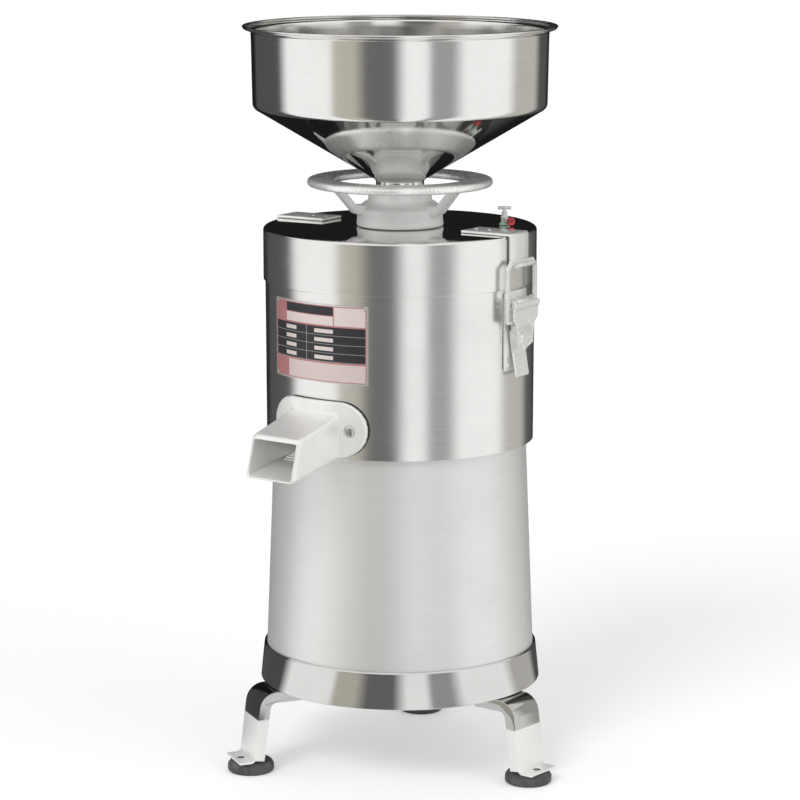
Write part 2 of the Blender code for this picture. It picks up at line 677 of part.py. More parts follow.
def build_pad(number, station):
    """Rubber pad whose nub is pressed up through the hole in the leg's tab."""
    profile = [(0, PAD_HEIGHT), (PAD_RADIUS - PAD_BEVEL, PAD_HEIGHT), (PAD_RADIUS, PAD_HEIGHT - PAD_BEVEL),
               (PAD_RADIUS, PAD_BEVEL / 2), (PAD_RADIUS - PAD_BEVEL / 2, 0), (0, 0)]
    centre = empty(f"pad_centre_{number}", (0, -LEG_FOOT_R, 0), parent=station)
    pad = turned(f"foot_pad_{number}", profile, "pad_rubber", MEDIUM_STEPS, centre, closed=False)
    nub_place = (0, -LEG_TAB_HOLE_R, PAD_HEIGHT + PAD_NUB_HEIGHT / 2 - BASE_PLATE_THICK / 2)
    nub = rod_mesh("pad_nub", PAD_NUB_RADIUS, PAD_NUB_HEIGHT + BASE_PLATE_THICK, nub_place)
    join(pad, add_cutter(f"pad_nub_{number}", nub, station))


def build_base():
    inner_low = BASE_RING_BOTTOM_R - BASE_RING_WALL
    lip = BASE_RING_WALL
    seat = casing_radius(BASE_RING_TOP_Z) + GAP
    profile = [(seat, BASE_RING_TOP_Z), (BASE_RING_TOP_R, BASE_RING_TOP_Z),
               (BASE_RING_TOP_R + lip / 2, BASE_RING_TOP_Z - lip),
               (BASE_RING_BOTTOM_R, BASE_Z), (inner_low, BASE_Z), (seat, BASE_RING_TOP_Z - lip)]
    turned("base_ring", profile, "polished_steel")
    plate_low_r = inner_low - GAP
    slope = (BASE_RING_BOTTOM_R - BASE_RING_TOP_R) / (BASE_RING_TOP_Z - BASE_Z)
    plate_top_r = plate_low_r - 2 * slope * BASE_PLATE_THICK
    profile = [(0, BASE_PLATE_TOP_Z), (plate_top_r, BASE_PLATE_TOP_Z), (plate_low_r, BASE_Z), (0, BASE_Z)]
    plate = turned("base_plate", profile, "brushed_steel", closed=False)
    slot = box_mesh("air_slot", (AIR_SLOT_WIDTH, AIR_SLOT_LENGTH, 4 * BASE_PLATE_THICK),
                    (0, -AIR_SLOT_R, BASE_Z))
    cut(plate, add_cutter("air_slots", round_copies("air_slots", slot, AIR_SLOTS)))


# Lower casing with switch and cable gland

def build_casing():
    low_r = casing_radius(CASING_BOTTOM_Z)
    profile = shell_profile([(CASING_TOP_R, CASING_TOP_Z), (low_r, CASING_BOTTOM_Z)], CASING_WALL)
    casing = turned("motor_casing", profile, "satin_casing")
    build_switch(casing)
    build_gland(casing)


def build_switch(casing):
    """Rocker switch in a square hole; the rocker's origin is on its hinge axis."""
    station = empty("switch_station", angle=SWITCH_ANGLE, parent=MACHINE)
    face = casing_radius(SWITCH_Z - SWITCH_HEIGHT / 2) + GAP
    body_depth = SWITCH_DEPTH + SWITCH_FLANGE_THICK / 2
    middle = face + SWITCH_FLANGE_THICK / 2 - body_depth / 2
    hole_size = (SWITCH_WIDTH + 2 * GAP, 2 * SWITCH_DEPTH, SWITCH_HEIGHT + 2 * GAP)
    cut(casing, add_cutter("switch_hole", box_mesh("switch_hole", hole_size, (0, -face, SWITCH_Z)), station))
    body = box_mesh("power_switch", (SWITCH_WIDTH, body_depth, SWITCH_HEIGHT), (0, -middle, SWITCH_Z))
    switch = add_part("power_switch", body, "black_plastic", station)
    flange_size = (SWITCH_WIDTH + 2 * SWITCH_FLANGE, SWITCH_FLANGE_THICK, SWITCH_HEIGHT + 2 * SWITCH_FLANGE)
    flange_centre = (0, -face - SWITCH_FLANGE_THICK / 2, SWITCH_Z)
    join(switch, add_cutter("switch_flange", box_mesh("switch_flange", flange_size, flange_centre), station))
    front = face + SWITCH_FLANGE_THICK
    pocket_depth = ROCKER_DEPTH + 3 * ROCKER_CLEAR
    pocket_size = (ROCKER_WIDTH + ROCKER_CLEAR, 2 * pocket_depth, 2 * (ROCKER_HALF + ROCKER_CLEAR))
    pocket = box_mesh("switch_pocket", pocket_size, (0, -front, SWITCH_Z))
    cut(switch, add_cutter("switch_pocket", pocket, station))
    pin = rod_mesh("switch_pin", ROCKER_CLEAR, SWITCH_WIDTH, (0, -front, SWITCH_Z), TANGENT_AXIS)
    join(switch, add_cutter("switch_pin", pin, station))
    crest = ROCKER_DEPTH / 3
    wing = ROCKER_DEPTH * 0.8
    outline = [(-ROCKER_DEPTH, -ROCKER_HALF), (wing, -ROCKER_HALF), (crest, 0), (wing, ROCKER_HALF),
               (-ROCKER_DEPTH, ROCKER_HALF)]
    tilt = Matrix.Rotation(math.radians(-ROCKER_TILT), 4, "Z")
    place = RADIAL_PLANE @ tilt
    rocker = outline_mesh("switch_rocker", [outline], ROCKER_WIDTH, place, (0, -front, SWITCH_Z))
    rocker = add_part("switch_rocker", rocker, "black_plastic", station, (0, -front, SWITCH_Z))
    bore = rod_mesh("rocker_bore", ROCKER_CLEAR + PIVOT_GAP, SWITCH_WIDTH, (0, -front, SWITCH_Z), TANGENT_AXIS)
    cut(rocker, add_cutter("rocker_bore", bore, station))


def build_gland(casing):
    """Cable gland screwed through the casing, with a blind bore for the cable."""
    station = empty("gland_station", angle=GLAND_ANGLE, parent=MACHINE)
    wall = casing_radius(GLAND_Z - GLAND_NUT_R)
    hole = rod_mesh("gland_hole", GLAND_THREAD_R + GAP, 2 * GLAND_INSIDE, (0, -wall, GLAND_Z), OUTWARD_AXIS,
                    MEDIUM_STEPS)
    cut(casing, add_cutter("gland_hole", hole, station))
    seat = wall + GAP
    length = GLAND_INSIDE + GLAND_NUT_THICK
    thread = rod_mesh("cable_gland", GLAND_THREAD_R, length,
                      (0, -(seat + GLAND_NUT_THICK - length / 2), GLAND_Z), OUTWARD_AXIS)
    gland = add_part("cable_gland", thread, "black_plastic", station)
    nut = rod_mesh("gland_nut", GLAND_NUT_R, GLAND_NUT_THICK, (0, -(seat + GLAND_NUT_THICK / 2), GLAND_Z),
                   OUTWARD_AXIS, 6)
    join(gland, add_cutter("gland_nut", nut, station))
    dome_low = seat + GLAND_NUT_THICK * 0.9
    dome = rod_mesh("gland_dome", GLAND_THREAD_R * 1.2, GLAND_DOME_LENGTH,
                    (0, -(dome_low + GLAND_DOME_LENGTH / 2), GLAND_Z), OUTWARD_AXIS, tip=GLAND_THREAD_R * 0.8)
    join(gland, add_cutter("gland_dome", dome, station))
    bore = rod_mesh("gland_bore", GLAND_BORE_R, 2 * GLAND_DOME_LENGTH,
                    (0, -(dome_low + GLAND_DOME_LENGTH), GLAND_Z), OUTWARD_AXIS)
    cut(gland, add_cutter("gland_bore", bore, station))


# Motor

def build_motor():
    frame_inner = MOTOR_FRAME_R - MOTOR_FRAME_WALL
    turned("motor_frame", ring_profile(MOTOR_FRAME_R, frame_inner, MOTOR_FRAME_LOW_Z, MOTOR_FRAME_TOP_Z),
           "cast_aluminium", MEDIUM_STEPS)
    build_stator(frame_inner - GAP)
    build_end_shields()
    build_rotor()
    build_fan()
    capacitor_angle = math.radians(CAPACITOR_ANGLE)
    capacitor_r = casing_radius(CASING_BOTTOM_Z + CAPACITOR_HEIGHT) - CAPACITOR_RADIUS - CAPACITOR_CLEAR
    place = (capacitor_r * math.sin(capacitor_angle), -capacitor_r * math.cos(capacitor_angle),
             CASING_BOTTOM_Z + CAPACITOR_HEIGHT / 2)
    add_part("capacitor", rod_mesh("capacitor", CAPACITOR_RADIUS, CAPACITOR_HEIGHT, place, steps=MEDIUM_STEPS),
             "white_plastic")


def build_stator(outer):
    """Laminated core with open winding slots, and the two winding heads on its ends."""
    bore = []
    slot = math.tau / STATOR_SLOTS
    half = slot * STATOR_SLOT_SHARE / 2
    for i in range(STATOR_SLOTS):
        middle = i * slot
        for angle, radius in ((middle - half, STATOR_BORE), (middle - half, STATOR_BORE + STATOR_SLOT_DEPTH),
                              (middle + half, STATOR_BORE + STATOR_SLOT_DEPTH), (middle + half, STATOR_BORE)):
            bore.append((radius * math.cos(angle), radius * math.sin(angle)))
    rim = arc((0, 0), outer, 0, 360, MEDIUM_STEPS)[:-1]
    centre = (0, 0, STATOR_LOW_Z + STATOR_HEIGHT / 2)
    add_part("stator_core", outline_mesh("stator_core", [rim, bore], STATOR_HEIGHT, LEVEL_PLANE, centre),
             "lamination_steel")
    top = STATOR_TOP_Z + GAP
    bottom = STATOR_LOW_Z - GAP
    turned("winding_upper", ring_profile(WINDING_OUTER_R, WINDING_INNER_R, top, top + WINDING_HEIGHT),
           "copper_winding", MEDIUM_STEPS)
    turned("winding_lower", ring_profile(WINDING_OUTER_R, WINDING_INNER_R, bottom - WINDING_HEIGHT, bottom),
           "copper_winding", MEDIUM_STEPS)


def build_end_shields():
    """Cast shields that close the motor frame and hold the two bearings."""
    seat = BEARING_RADIUS + GAP
    housing = seat + BEARING_HOUSING_WALL
    shaft_hole = SHAFT_RADIUS + 4 * GAP
    low = MOTOR_FRAME_LOW_Z - GAP
    web = low - SHIELD_WEB
    pocket = web - BEARING_WIDTH
    profile = [(MOTOR_FRAME_R, low), (MOTOR_FRAME_R, web), (housing, web), (housing, pocket),
               (seat, pocket), (seat, web), (shaft_hole, web), (shaft_hole, low)]
    lower = turned("lower_end_shield", profile, "cast_aluminium", MEDIUM_STEPS)
    foot_low = BASE_PLATE_TOP_Z + GAP
    foot_top = low - SHIELD_WEB / 2
    foot = rod_mesh("shield_foot", SHIELD_FOOT_RADIUS, foot_top - foot_low,
                    (0, -SHIELD_FOOT_R, (foot_top + foot_low) / 2))
    feet = round_copies("shield_feet", foot, SHIELD_FOOT_COUNT, 45)
    join(lower, add_cutter("shield_feet", feet))
    turned("lower_bearing", ring_profile(BEARING_RADIUS, SHAFT_BORE, pocket, web - GAP), "machined_steel",
           MEDIUM_STEPS)
    high = MOTOR_FRAME_TOP_Z + GAP
    flange_low = SHIELD_TOP_Z - SHIELD_FLANGE_THICK
    web = high + SHIELD_WEB
    profile = [(SHIELD_FLANGE_R, SHIELD_TOP_Z), (SHIELD_FLANGE_R, flange_low), (MOTOR_FRAME_R, high),
               (seat, high), (seat, web), (shaft_hole, web), (shaft_hole, web + SHIELD_WEB),
               (MOTOR_FRAME_R - SHIELD_WEB, web + SHIELD_WEB), (SHIELD_FLANGE_R - SHIELD_WEB, SHIELD_TOP_Z)]
    turned("upper_end_shield", profile, "cast_aluminium", MEDIUM_STEPS)
    turned("upper_bearing", ring_profile(BEARING_RADIUS, SHAFT_BORE, web - GAP - BEARING_WIDTH, web - GAP),
           "machined_steel", MEDIUM_STEPS)


def build_rotor():
    shoulder = STONE_FACE_Z - NUT_RECESS_DEPTH - 2 * FURROW_DEPTH
    chamfer = SHAFT_THREAD_R * 0.1
    profile = [(0, SHAFT_TOP_Z), (SHAFT_THREAD_R - chamfer, SHAFT_TOP_Z), (SHAFT_THREAD_R, SHAFT_TOP_Z - chamfer),
               (SHAFT_THREAD_R, shoulder), (SHAFT_RADIUS, shoulder), (SHAFT_RADIUS, SHAFT_BOTTOM_Z),
               (0, SHAFT_BOTTOM_Z)]
    turned("motor_shaft", profile, "machined_steel", MEDIUM_STEPS, closed=False)
    low = STATOR_LOW_Z - ROTOR_EXTRA
    high = STATOR_TOP_Z + ROTOR_EXTRA
    inscribed = math.cos(math.pi / MEDIUM_STEPS)
    turned("rotor_core", ring_profile(STATOR_BORE * inscribed - AIR_GAP, SHAFT_BORE, low, high),
           "lamination_steel", MEDIUM_STEPS)


def build_fan():
    """Radial cooling fan: a hub and back plate with upright blades under it."""
    top = FAN_LOW_Z + FAN_HEIGHT
    profile = [(FAN_RADIUS, top), (FAN_RADIUS, top - FAN_PLATE), (FAN_HUB_R, top - FAN_PLATE),
               (FAN_HUB_R, FAN_LOW_Z), (SHAFT_BORE, FAN_LOW_Z), (SHAFT_BORE, top)]
    fan = turned("cooling_fan", profile, "black_plastic", MEDIUM_STEPS)
    inner = FAN_HUB_R - FAN_BLADE_THICK
    blade_height = FAN_HEIGHT - FAN_PLATE / 2
    blade = box_mesh("fan_blade", (FAN_BLADE_THICK, FAN_RADIUS - inner - FAN_BLADE_THICK, blade_height),
                     (0, -(FAN_RADIUS + inner) / 2, FAN_LOW_Z + blade_height / 2))
    join(fan, add_cutter("fan_blades", round_copies("fan_blades", blade, FAN_BLADES)))


# Grinding section

def build_chamber():
    """Outer skin and cast bowl, both open to the two spouts."""
    path = [(CHAMBER_TOP_R, CHAMBER_TOP_Z), (CHAMBER_BOTTOM_R, CHAMBER_BOTTOM_Z)]
    skin = turned("chamber_skin", shell_profile(path, CHAMBER_SKIN_WALL), "brushed_steel")
    low = CHAMBER_BOTTOM_Z
    inner = bowl_radius(low) - BOWL_WALL
    spigot = casing_radius(low) - CASING_WALL - GAP
    hub_bore = SEAL_RADIUS + GAP
    hub = hub_bore + SEAL_HUB_WALL
    hub_top = BOWL_FLOOR_Z + SEAL_HUB_HEIGHT
    shelf_low = SHELF_Z - SHELF_THICK
    profile = [(bowl_radius(BOWL_TOP_Z), BOWL_TOP_Z), (bowl_radius(low), low), (spigot, low),
               (spigot, BOWL_BOTTOM_Z), (hub_bore, BOWL_BOTTOM_Z), (hub_bore, hub_top), (hub, hub_top),
               (hub, BOWL_FLOOR_Z), (inner, BOWL_FLOOR_Z), (inner, shelf_low), (SHELF_INNER_R, shelf_low),
               (SHELF_INNER_R, SHELF_Z), (inner, SHELF_Z), (inner, BOWL_TOP_Z)]
    bowl = turned("chamber_bowl", profile, "cast_aluminium")
    turned("shaft_seal", ring_profile(SEAL_RADIUS, SHAFT_BORE, BOWL_BOTTOM_Z + GAP, hub_top - GAP),
           "seal_rubber", MEDIUM_STEPS)
    build_spout("milk", MILK_SPOUT_ANGLE, MILK_SPOUT_TOP_Z, skin, bowl)
    build_spout("residue", RESIDUE_SPOUT_ANGLE, RESIDUE_SPOUT_TOP_Z, skin, bowl)


def spout_outline(top_z, inset, reach):
    """Side view of a duct, inset from its outer faces and lengthened past its mouth."""
    root = CHAMBER_TOP_R - BOWL_WALL
    top = Vector((SPOUT_TOP_R, top_z - SPOUT_DROP))
    bottom = Vector((SPOUT_BOTTOM_R, top.y - SPOUT_MOUTH_HEIGHT))
    start_top = Vector((root, top_z))
    start_bottom = Vector((root, top_z - SPOUT_ROOT_HEIGHT))
    down = Vector((0, -inset))
    top_end = top + (top - start_top).normalized() * reach
    bottom_end = bottom + (bottom - start_bottom).normalized() * reach
    start = Vector((-reach, 0))
    return [tuple(point) for point in (start_top + down + start, top_end + down, bottom_end - down,
                                       start_bottom - down + start)]


def stadium(half, lobe, z):
    """Outline with two round lobes, centred on height z."""
    right = arc((half - lobe, z), lobe, -90, 90, 8)
    left = arc((lobe - half, z), lobe, 90, 270, 8)
    return right + left


def curved_plate(name, outline, inner, outer, finish, station, reach):
    """Plate cut from an outline and bent to the chamber, facet to facet."""
    block = outline_mesh(name, [outline], 2 * reach, FACING_PLANE, (0, -inner, 0))
    plate = add_part(name, block, finish, station)
    low = min(point[1] for point in outline) - reach
    high = max(point[1] for point in outline) + reach
    low_r = chamber_radius(low) - CHAMBER_TOP_R
    high_r = chamber_radius(high) - CHAMBER_TOP_R
    band = [(outer + high_r, high), (outer + low_r, low), (inner + low_r, low), (inner + high_r, high)]
    combine(plate, turned_cutter(f"{name}_band", band), "INTERSECT")
    return plate


def build_spout(kind, angle, top_z, skin, bowl):
    """Cast spout with a two-lobed flange, on a gasket, held by two screws."""
    station = empty(f"{kind}_spout_station", angle=angle, parent=MACHINE)
    middle = top_z - SPOUT_ROOT_HEIGHT / 2 + SPOUT_FLANGE_RISE
    gasket_in = CHAMBER_TOP_R + GAP
    flange_in = gasket_in + SPOUT_GASKET_THICK + GAP
    flange_out = flange_in + SPOUT_FLANGE_THICK
    reach = SPOUT_FLANGE_LOBE
    shape = stadium(SPOUT_FLANGE_HALF, SPOUT_FLANGE_LOBE, middle)
    gasket = curved_plate(f"{kind}_spout_gasket", shape, gasket_in, gasket_in + SPOUT_GASKET_THICK,
                          "seal_rubber", station, reach)
    spout = curved_plate(f"{kind}_spout", shape, flange_in, flange_out, "cast_aluminium", station, reach)
    duct = outline_mesh(f"{kind}_duct", [spout_outline(top_z, 0, 0)], SPOUT_WIDTH, RADIAL_PLANE)
    duct_part = add_cutter(f"{kind}_duct", duct, station)
    trim_profile = ring_profile(flange_in, CHAMBER_TOP_R / 2, middle - 2 * reach, middle + 2 * reach)
    join(spout, duct_part)
    cut(spout, turned_cutter(f"{kind}_duct_trim", trim_profile))
    bore_outline = spout_outline(top_z, SPOUT_WALL, SPOUT_WIDTH / 3)
    bore = outline_mesh(f"{kind}_bore", [bore_outline], SPOUT_WIDTH - 2 * SPOUT_WALL, RADIAL_PLANE)
    bore_tool = add_cutter(f"{kind}_bore", bore, station)
    for item in (spout, gasket, skin, bowl):
        cut(item, bore_tool)
    place_screws(kind, station, middle, flange_in, (spout, gasket, skin, bowl))


def place_screws(kind, station, middle, flange_in, layers):
    """Two pan-head screws through the flange, square to the chamber wall."""
    seat = flange_in + SPOUT_FLANGE_THICK + GAP
    turn = math.degrees(SPOUT_SCREW_OFFSET / seat)
    length = SPOUT_FLANGE_THICK + SPOUT_GASKET_THICK + CHAMBER_SKIN_WALL + BOWL_WALL / 2
    for side, sign in (("right", 1), ("left", -1)):
        place = empty(f"{kind}_screw_{side}_place", angle=sign * turn, parent=station)
        centre = (0, -(seat - length / 2 + SPOUT_SCREW_HEAD / 2), middle)
        shank = rod_mesh("screw_shank", SPOUT_SCREW_R, length + SPOUT_SCREW_HEAD, centre, OUTWARD_AXIS, 10)
        screw_part = add_part(f"{kind}_spout_screw_{side}", shank, "machined_steel", place)
        head_centre = (0, -(seat + SPOUT_SCREW_HEAD / 2), middle)
        head = rod_mesh("screw_head", SPOUT_SCREW_HEAD_R, SPOUT_SCREW_HEAD, head_centre, OUTWARD_AXIS,
                        tip=SPOUT_SCREW_HEAD_R * 0.8)
        join(screw_part, add_cutter(f"{kind}_screw_head_{side}", head, place))
        hole_centre = (0, -(seat - length / 2), middle)
        hole = rod_mesh("screw_hole", SPOUT_SCREW_R + GAP, length + 4 * GAP, hole_centre, OUTWARD_AXIS, 10)
        hole_tool = add_cutter(f"{kind}_screw_hole_{side}", hole, place)
        for item in layers:
            cut(item, hole_tool)


def basket_radius(z):
    """Outer radius of the conical screen at a height."""
    low = BASKET_FLOOR_TOP_Z - BASKET_FLOOR_THICK
    share = (z - low) / (BASKET_RIM_Z - BASKET_WALL - low)
    return BASKET_FLOOR_R + BASKET_WALL + (BASKET_RIM_R - BASKET_FLOOR_R) * share


def build_basket():
    """Spinning cone with long screen slots, carried by the shaft under the lower stone."""
    top = BASKET_FLOOR_TOP_Z
    low = top - BASKET_FLOOR_THICK
    hub_low = top - BASKET_HUB_HEIGHT
    wall_across = 1.2 * BASKET_WALL
    rim_low = BASKET_RIM_Z - BASKET_WALL
    profile = [(BASKET_RIM_R + BASKET_FLANGE, BASKET_RIM_Z), (BASKET_RIM_R + BASKET_FLANGE, rim_low),
               (basket_radius(rim_low), rim_low), (basket_radius(low), low), (BASKET_HUB_R, low),
               (BASKET_HUB_R, hub_low), (SHAFT_BORE, hub_low), (SHAFT_BORE, top),
               (basket_radius(top) - wall_across, top), (basket_radius(BASKET_RIM_Z) - wall_across, BASKET_RIM_Z)]
    basket = turned("screen_basket", profile, "brushed_steel")
    start = Vector((basket_radius(top), top))
    end = Vector((basket_radius(rim_low), rim_low))
    run = end - start
    middle = (start + end) / 2
    lean = math.atan2(run.x, run.y)
    slot = box_mesh("screen_slot", (SCREEN_SLOT_WIDTH, 6 * BASKET_WALL, run.length * (1 - 2 * SCREEN_SLOT_MARGIN)),
                    (0, 0, 0), Matrix.Rotation(lean, 4, "X"))
    slot.transform(Matrix.Translation((0, -middle.x, middle.y)))
    half_step = 180.0 / LARGE_STEPS
    cut(basket, add_cutter("screen_slots", round_copies("screen_slots", slot, SCREEN_SLOTS, half_step)))


def furrows(name, face_z):
    """Cutters for the straight furrows dressed into a stone's grinding face."""
    length = STONE_RADIUS - NUT_RECESS_R
    lead = STONE_RADIUS * 0.22
    furrow = box_mesh(name, (FURROW_WIDTH, length, 2 * FURROW_DEPTH),
                      (lead, -(NUT_RECESS_R + STONE_RADIUS) / 2 - FURROW_WIDTH, face_z))
    return add_cutter(name, round_copies(name, furrow, STONE_FURROWS))


def build_stones():
    recess_z = STONE_FACE_Z - NUT_RECESS_DEPTH
    profile = [(STONE_RADIUS, STONE_FACE_Z), (STONE_RADIUS, LOWER_STONE_Z), (SHAFT_BORE, LOWER_STONE_Z),
               (SHAFT_BORE, recess_z), (NUT_RECESS_R, recess_z), (NUT_RECESS_R, STONE_FACE_Z)]
    lower = turned("lower_stone", profile, "grinding_stone", MEDIUM_STEPS)
    cut(lower, furrows("lower_furrows", STONE_FACE_Z))
    throat = SLEEVE_BORE + 2 * FURROW_DEPTH
    profile = [(STONE_RADIUS, UPPER_STONE_TOP_Z), (STONE_RADIUS, UPPER_STONE_Z), (throat, UPPER_STONE_Z),
               (SLEEVE_BORE, UPPER_STONE_Z + STONE_THICK / 2), (SLEEVE_BORE, UPPER_STONE_TOP_Z)]
    upper = turned("upper_stone", profile, "grinding_stone", MEDIUM_STEPS)
    cut(upper, furrows("upper_furrows", UPPER_STONE_Z))
    seat = STONE_RADIUS + GAP
    rim = seat + HOLDER_WALL
    skirt = UPPER_STONE_TOP_Z - HOLDER_SKIRT
    top = SLEEVE_BOTTOM_Z - GAP
    profile = [(rim, top), (rim, skirt), (seat, skirt), (seat, HOLDER_LOW_Z), (SLEEVE_BORE, HOLDER_LOW_Z),
               (SLEEVE_BORE, top)]
    turned("upper_stone_holder", profile, "cast_aluminium", MEDIUM_STEPS)
    nut_centre = (0, 0, NUT_LOW_Z + NUT_HEIGHT / 2)
    nut = add_part("shaft_nut", rod_mesh("shaft_nut", NUT_RADIUS, NUT_HEIGHT, nut_centre, steps=6),
                   "machined_steel")
    bore = rod_mesh("nut_bore", SHAFT_THREAD_R + GAP, 2 * NUT_HEIGHT, nut_centre, steps=MEDIUM_STEPS)
    cut(nut, add_cutter("nut_bore", bore))


def build_feed_sleeve():
    """Tube that carries the upper stone up and down; a key keeps it from turning."""
    flange_top = SLEEVE_BOTTOM_Z + SLEEVE_FLANGE_THICK
    profile = [(SLEEVE_FLANGE_R, SLEEVE_TOP_Z), (SLEEVE_FLANGE_R, SLEEVE_FLANGE_LOW_Z),
               (SLEEVE_RADIUS, SLEEVE_FLANGE_LOW_Z), (SLEEVE_RADIUS, flange_top), (SLEEVE_FLANGE_R, flange_top),
               (SLEEVE_FLANGE_R, SLEEVE_BOTTOM_Z), (SLEEVE_BORE, SLEEVE_BOTTOM_Z), (SLEEVE_BORE, SLEEVE_TOP_Z)]
    sleeve = turned("feed_sleeve", profile, "machined_steel", MEDIUM_STEPS)
    key_low = GUIDE_BOTTOM_Z + KEY_WIDTH
    key_high = COVER_PLATE_LOW_Z
    key_depth = 2 * KEY_HEIGHT
    key_size = (KEY_WIDTH, key_depth, key_high - key_low)
    key_place = (0, SLEEVE_RADIUS + KEY_HEIGHT - key_depth / 2, (key_high + key_low) / 2)
    join(sleeve, add_cutter("sleeve_key", box_mesh("sleeve_key", key_size, key_place)))


# Cover

def build_cover():
    path = [(BOSS_RADIUS + GAP, COVER_TOP_Z), (COVER_RADIUS - COVER_EDGE, COVER_TOP_Z),
            (COVER_RADIUS, COVER_TOP_Z - COVER_EDGE), (COVER_RADIUS, COVER_SEAM_Z)]
    turned("cover_skin", shell_profile(path, COVER_SKIN_WALL), "polished_steel")
    rim = COVER_RADIUS - COVER_SKIN_WALL - GAP
    chamfer = COVER_EDGE
    inner = rim - COVER_RIM_WALL
    guide = GUIDE_BORE + GUIDE_WALL
    profile = [(BOSS_RADIUS, BOSS_TOP_Z), (BOSS_RADIUS, COVER_PLATE_TOP_Z), (rim - chamfer, COVER_PLATE_TOP_Z),
               (rim, COVER_PLATE_TOP_Z - chamfer), (rim, COVER_RIM_LOW_Z), (inner, COVER_RIM_LOW_Z),
               (inner, COVER_PLATE_LOW_Z), (guide, COVER_PLATE_LOW_Z), (guide, GUIDE_BOTTOM_Z),
               (GUIDE_BORE, GUIDE_BOTTOM_Z), (GUIDE_BORE, BOSS_TOP_Z)]
    casting = turned("cover_casting", profile, "cast_aluminium")
    slot_depth = KEY_HEIGHT + GUIDE_BORE
    slot_size = (KEY_WIDTH + 2 * GAP, slot_depth, 2 * (BOSS_TOP_Z - GUIDE_BOTTOM_Z))
    slot_place = (0, slot_depth / 2, GUIDE_BOTTOM_Z)
    rib_length = inner - guide + RIB_THICK
    rib = box_mesh("cover_rib", (RIB_THICK, rib_length, RIB_HEIGHT + COVER_PLATE_THICK / 2),
                   (0, -(inner + guide) / 2, COVER_PLATE_LOW_Z - RIB_HEIGHT / 2 + COVER_PLATE_THICK / 4))
    join(casting, add_cutter("cover_ribs", round_copies("cover_ribs", rib, RIB_COUNT)))
    cut(casting, add_cutter("key_slot", box_mesh("key_slot", slot_size, slot_place)))
    bowl_outer = bowl_radius(BOWL_TOP_Z)
    turned("cover_gasket", ring_profile(bowl_outer - GAP, bowl_outer - BOWL_WALL, GASKET_LOW_Z,
                                        GASKET_LOW_Z + COVER_GASKET_THICK), "seal_rubber",
           MEDIUM_STEPS)


def build_water_valve():
    """Small valve on the cover: body with an inward nozzle, and a T handle on its stem."""
    station = empty("valve_station", angle=VALVE_ANGLE, parent=MACHINE)
    low = COVER_TOP_Z + GAP
    top = low + VALVE_BODY_HEIGHT
    body = rod_mesh("water_valve", VALVE_BASE_R, VALVE_BASE_HEIGHT, (0, -VALVE_R, low + VALVE_BASE_HEIGHT / 2))
    valve = add_part("water_valve", body, "white_plastic", station)
    column = rod_mesh("valve_column", VALVE_BODY_R, VALVE_BODY_HEIGHT - VALVE_BASE_HEIGHT / 2,
                      (0, -VALVE_R, (low + VALVE_BASE_HEIGHT / 2 + top) / 2))
    join(valve, add_cutter("valve_column", column, station))
    nozzle_z = low + VALVE_BODY_HEIGHT * 0.6
    nozzle_r = VALVE_R + VALVE_NOZZLE_LENGTH / 2
    nozzle = rod_mesh("valve_nozzle", VALVE_NOZZLE_R, VALVE_NOZZLE_LENGTH, (0, -nozzle_r, nozzle_z), OUTWARD_AXIS)
    join(valve, add_cutter("valve_nozzle", nozzle, station))
    bore = rod_mesh("valve_bore", VALVE_NOZZLE_BORE, VALVE_NOZZLE_LENGTH,
                    (0, -(nozzle_r + VALVE_BODY_R), nozzle_z), OUTWARD_AXIS, 8)
    cut(valve, add_cutter("valve_bore", bore, station))
    handle_low = top + GAP
    handle_place = (0, -VALVE_R, handle_low + VALVE_STEM_HEIGHT / 2)
    stem = rod_mesh("valve_handle", VALVE_STEM_R, VALVE_STEM_HEIGHT, handle_place)
    handle = add_part("valve_handle", stem, "white_plastic", station, (0, -VALVE_R, handle_low))
    bar = rod_mesh("valve_bar", VALVE_BAR_R, VALVE_BAR_LENGTH,
                   (0, -VALVE_R, handle_low + VALVE_STEM_HEIGHT), TANGENT_AXIS)
    join(handle, add_cutter("valve_bar", bar, station))


# Draw latches

def build_latches():
    for side, angle in LATCH_ANGLES.items():
        station = empty(f"latch_station_{side}", angle=angle, parent=MACHINE)
        build_strap(side, station)
        build_latch_plate(side, station)
        build_lever(side, station)
        build_loop(side, station)


def build_strap(side, station):
    """Strap over the cover whose outer end is a hook for the latch loop."""
    outer = STRAP_SIDE_R + STRAP_THICK
    bar_low = LOOP_TOP_Z - LOOP_TOP_BAR
    floor = bar_low - PIVOT_GAP
    hook_low = floor - STRAP_THICK
    throat = LATCH_PIVOT_R + LOOP_THICK / 2 + HOOK_THROAT
    lip = throat + HOOK_LIP_THICK
    bend = STRAP_THICK * 0.7
    top = STRAP_LOW_TOP_Z + STRAP_THICK
    outline = [(STRAP_INNER_R, STRAP_LOW_TOP_Z), (STRAP_SIDE_R, STRAP_LOW_TOP_Z), (STRAP_SIDE_R, hook_low),
               (lip - bend, hook_low), (lip, hook_low + bend), (lip, bar_low + HOOK_LIP),
               (throat, bar_low + HOOK_LIP), (throat, floor), (outer, floor), (outer, top - bend),
               (outer - bend, top), (STRAP_INNER_R, top)]
    add_part(f"hook_strap_{side}", outline_mesh(f"hook_strap_{side}", [outline], STRAP_WIDTH, RADIAL_PLANE),
             "polished_steel", station)


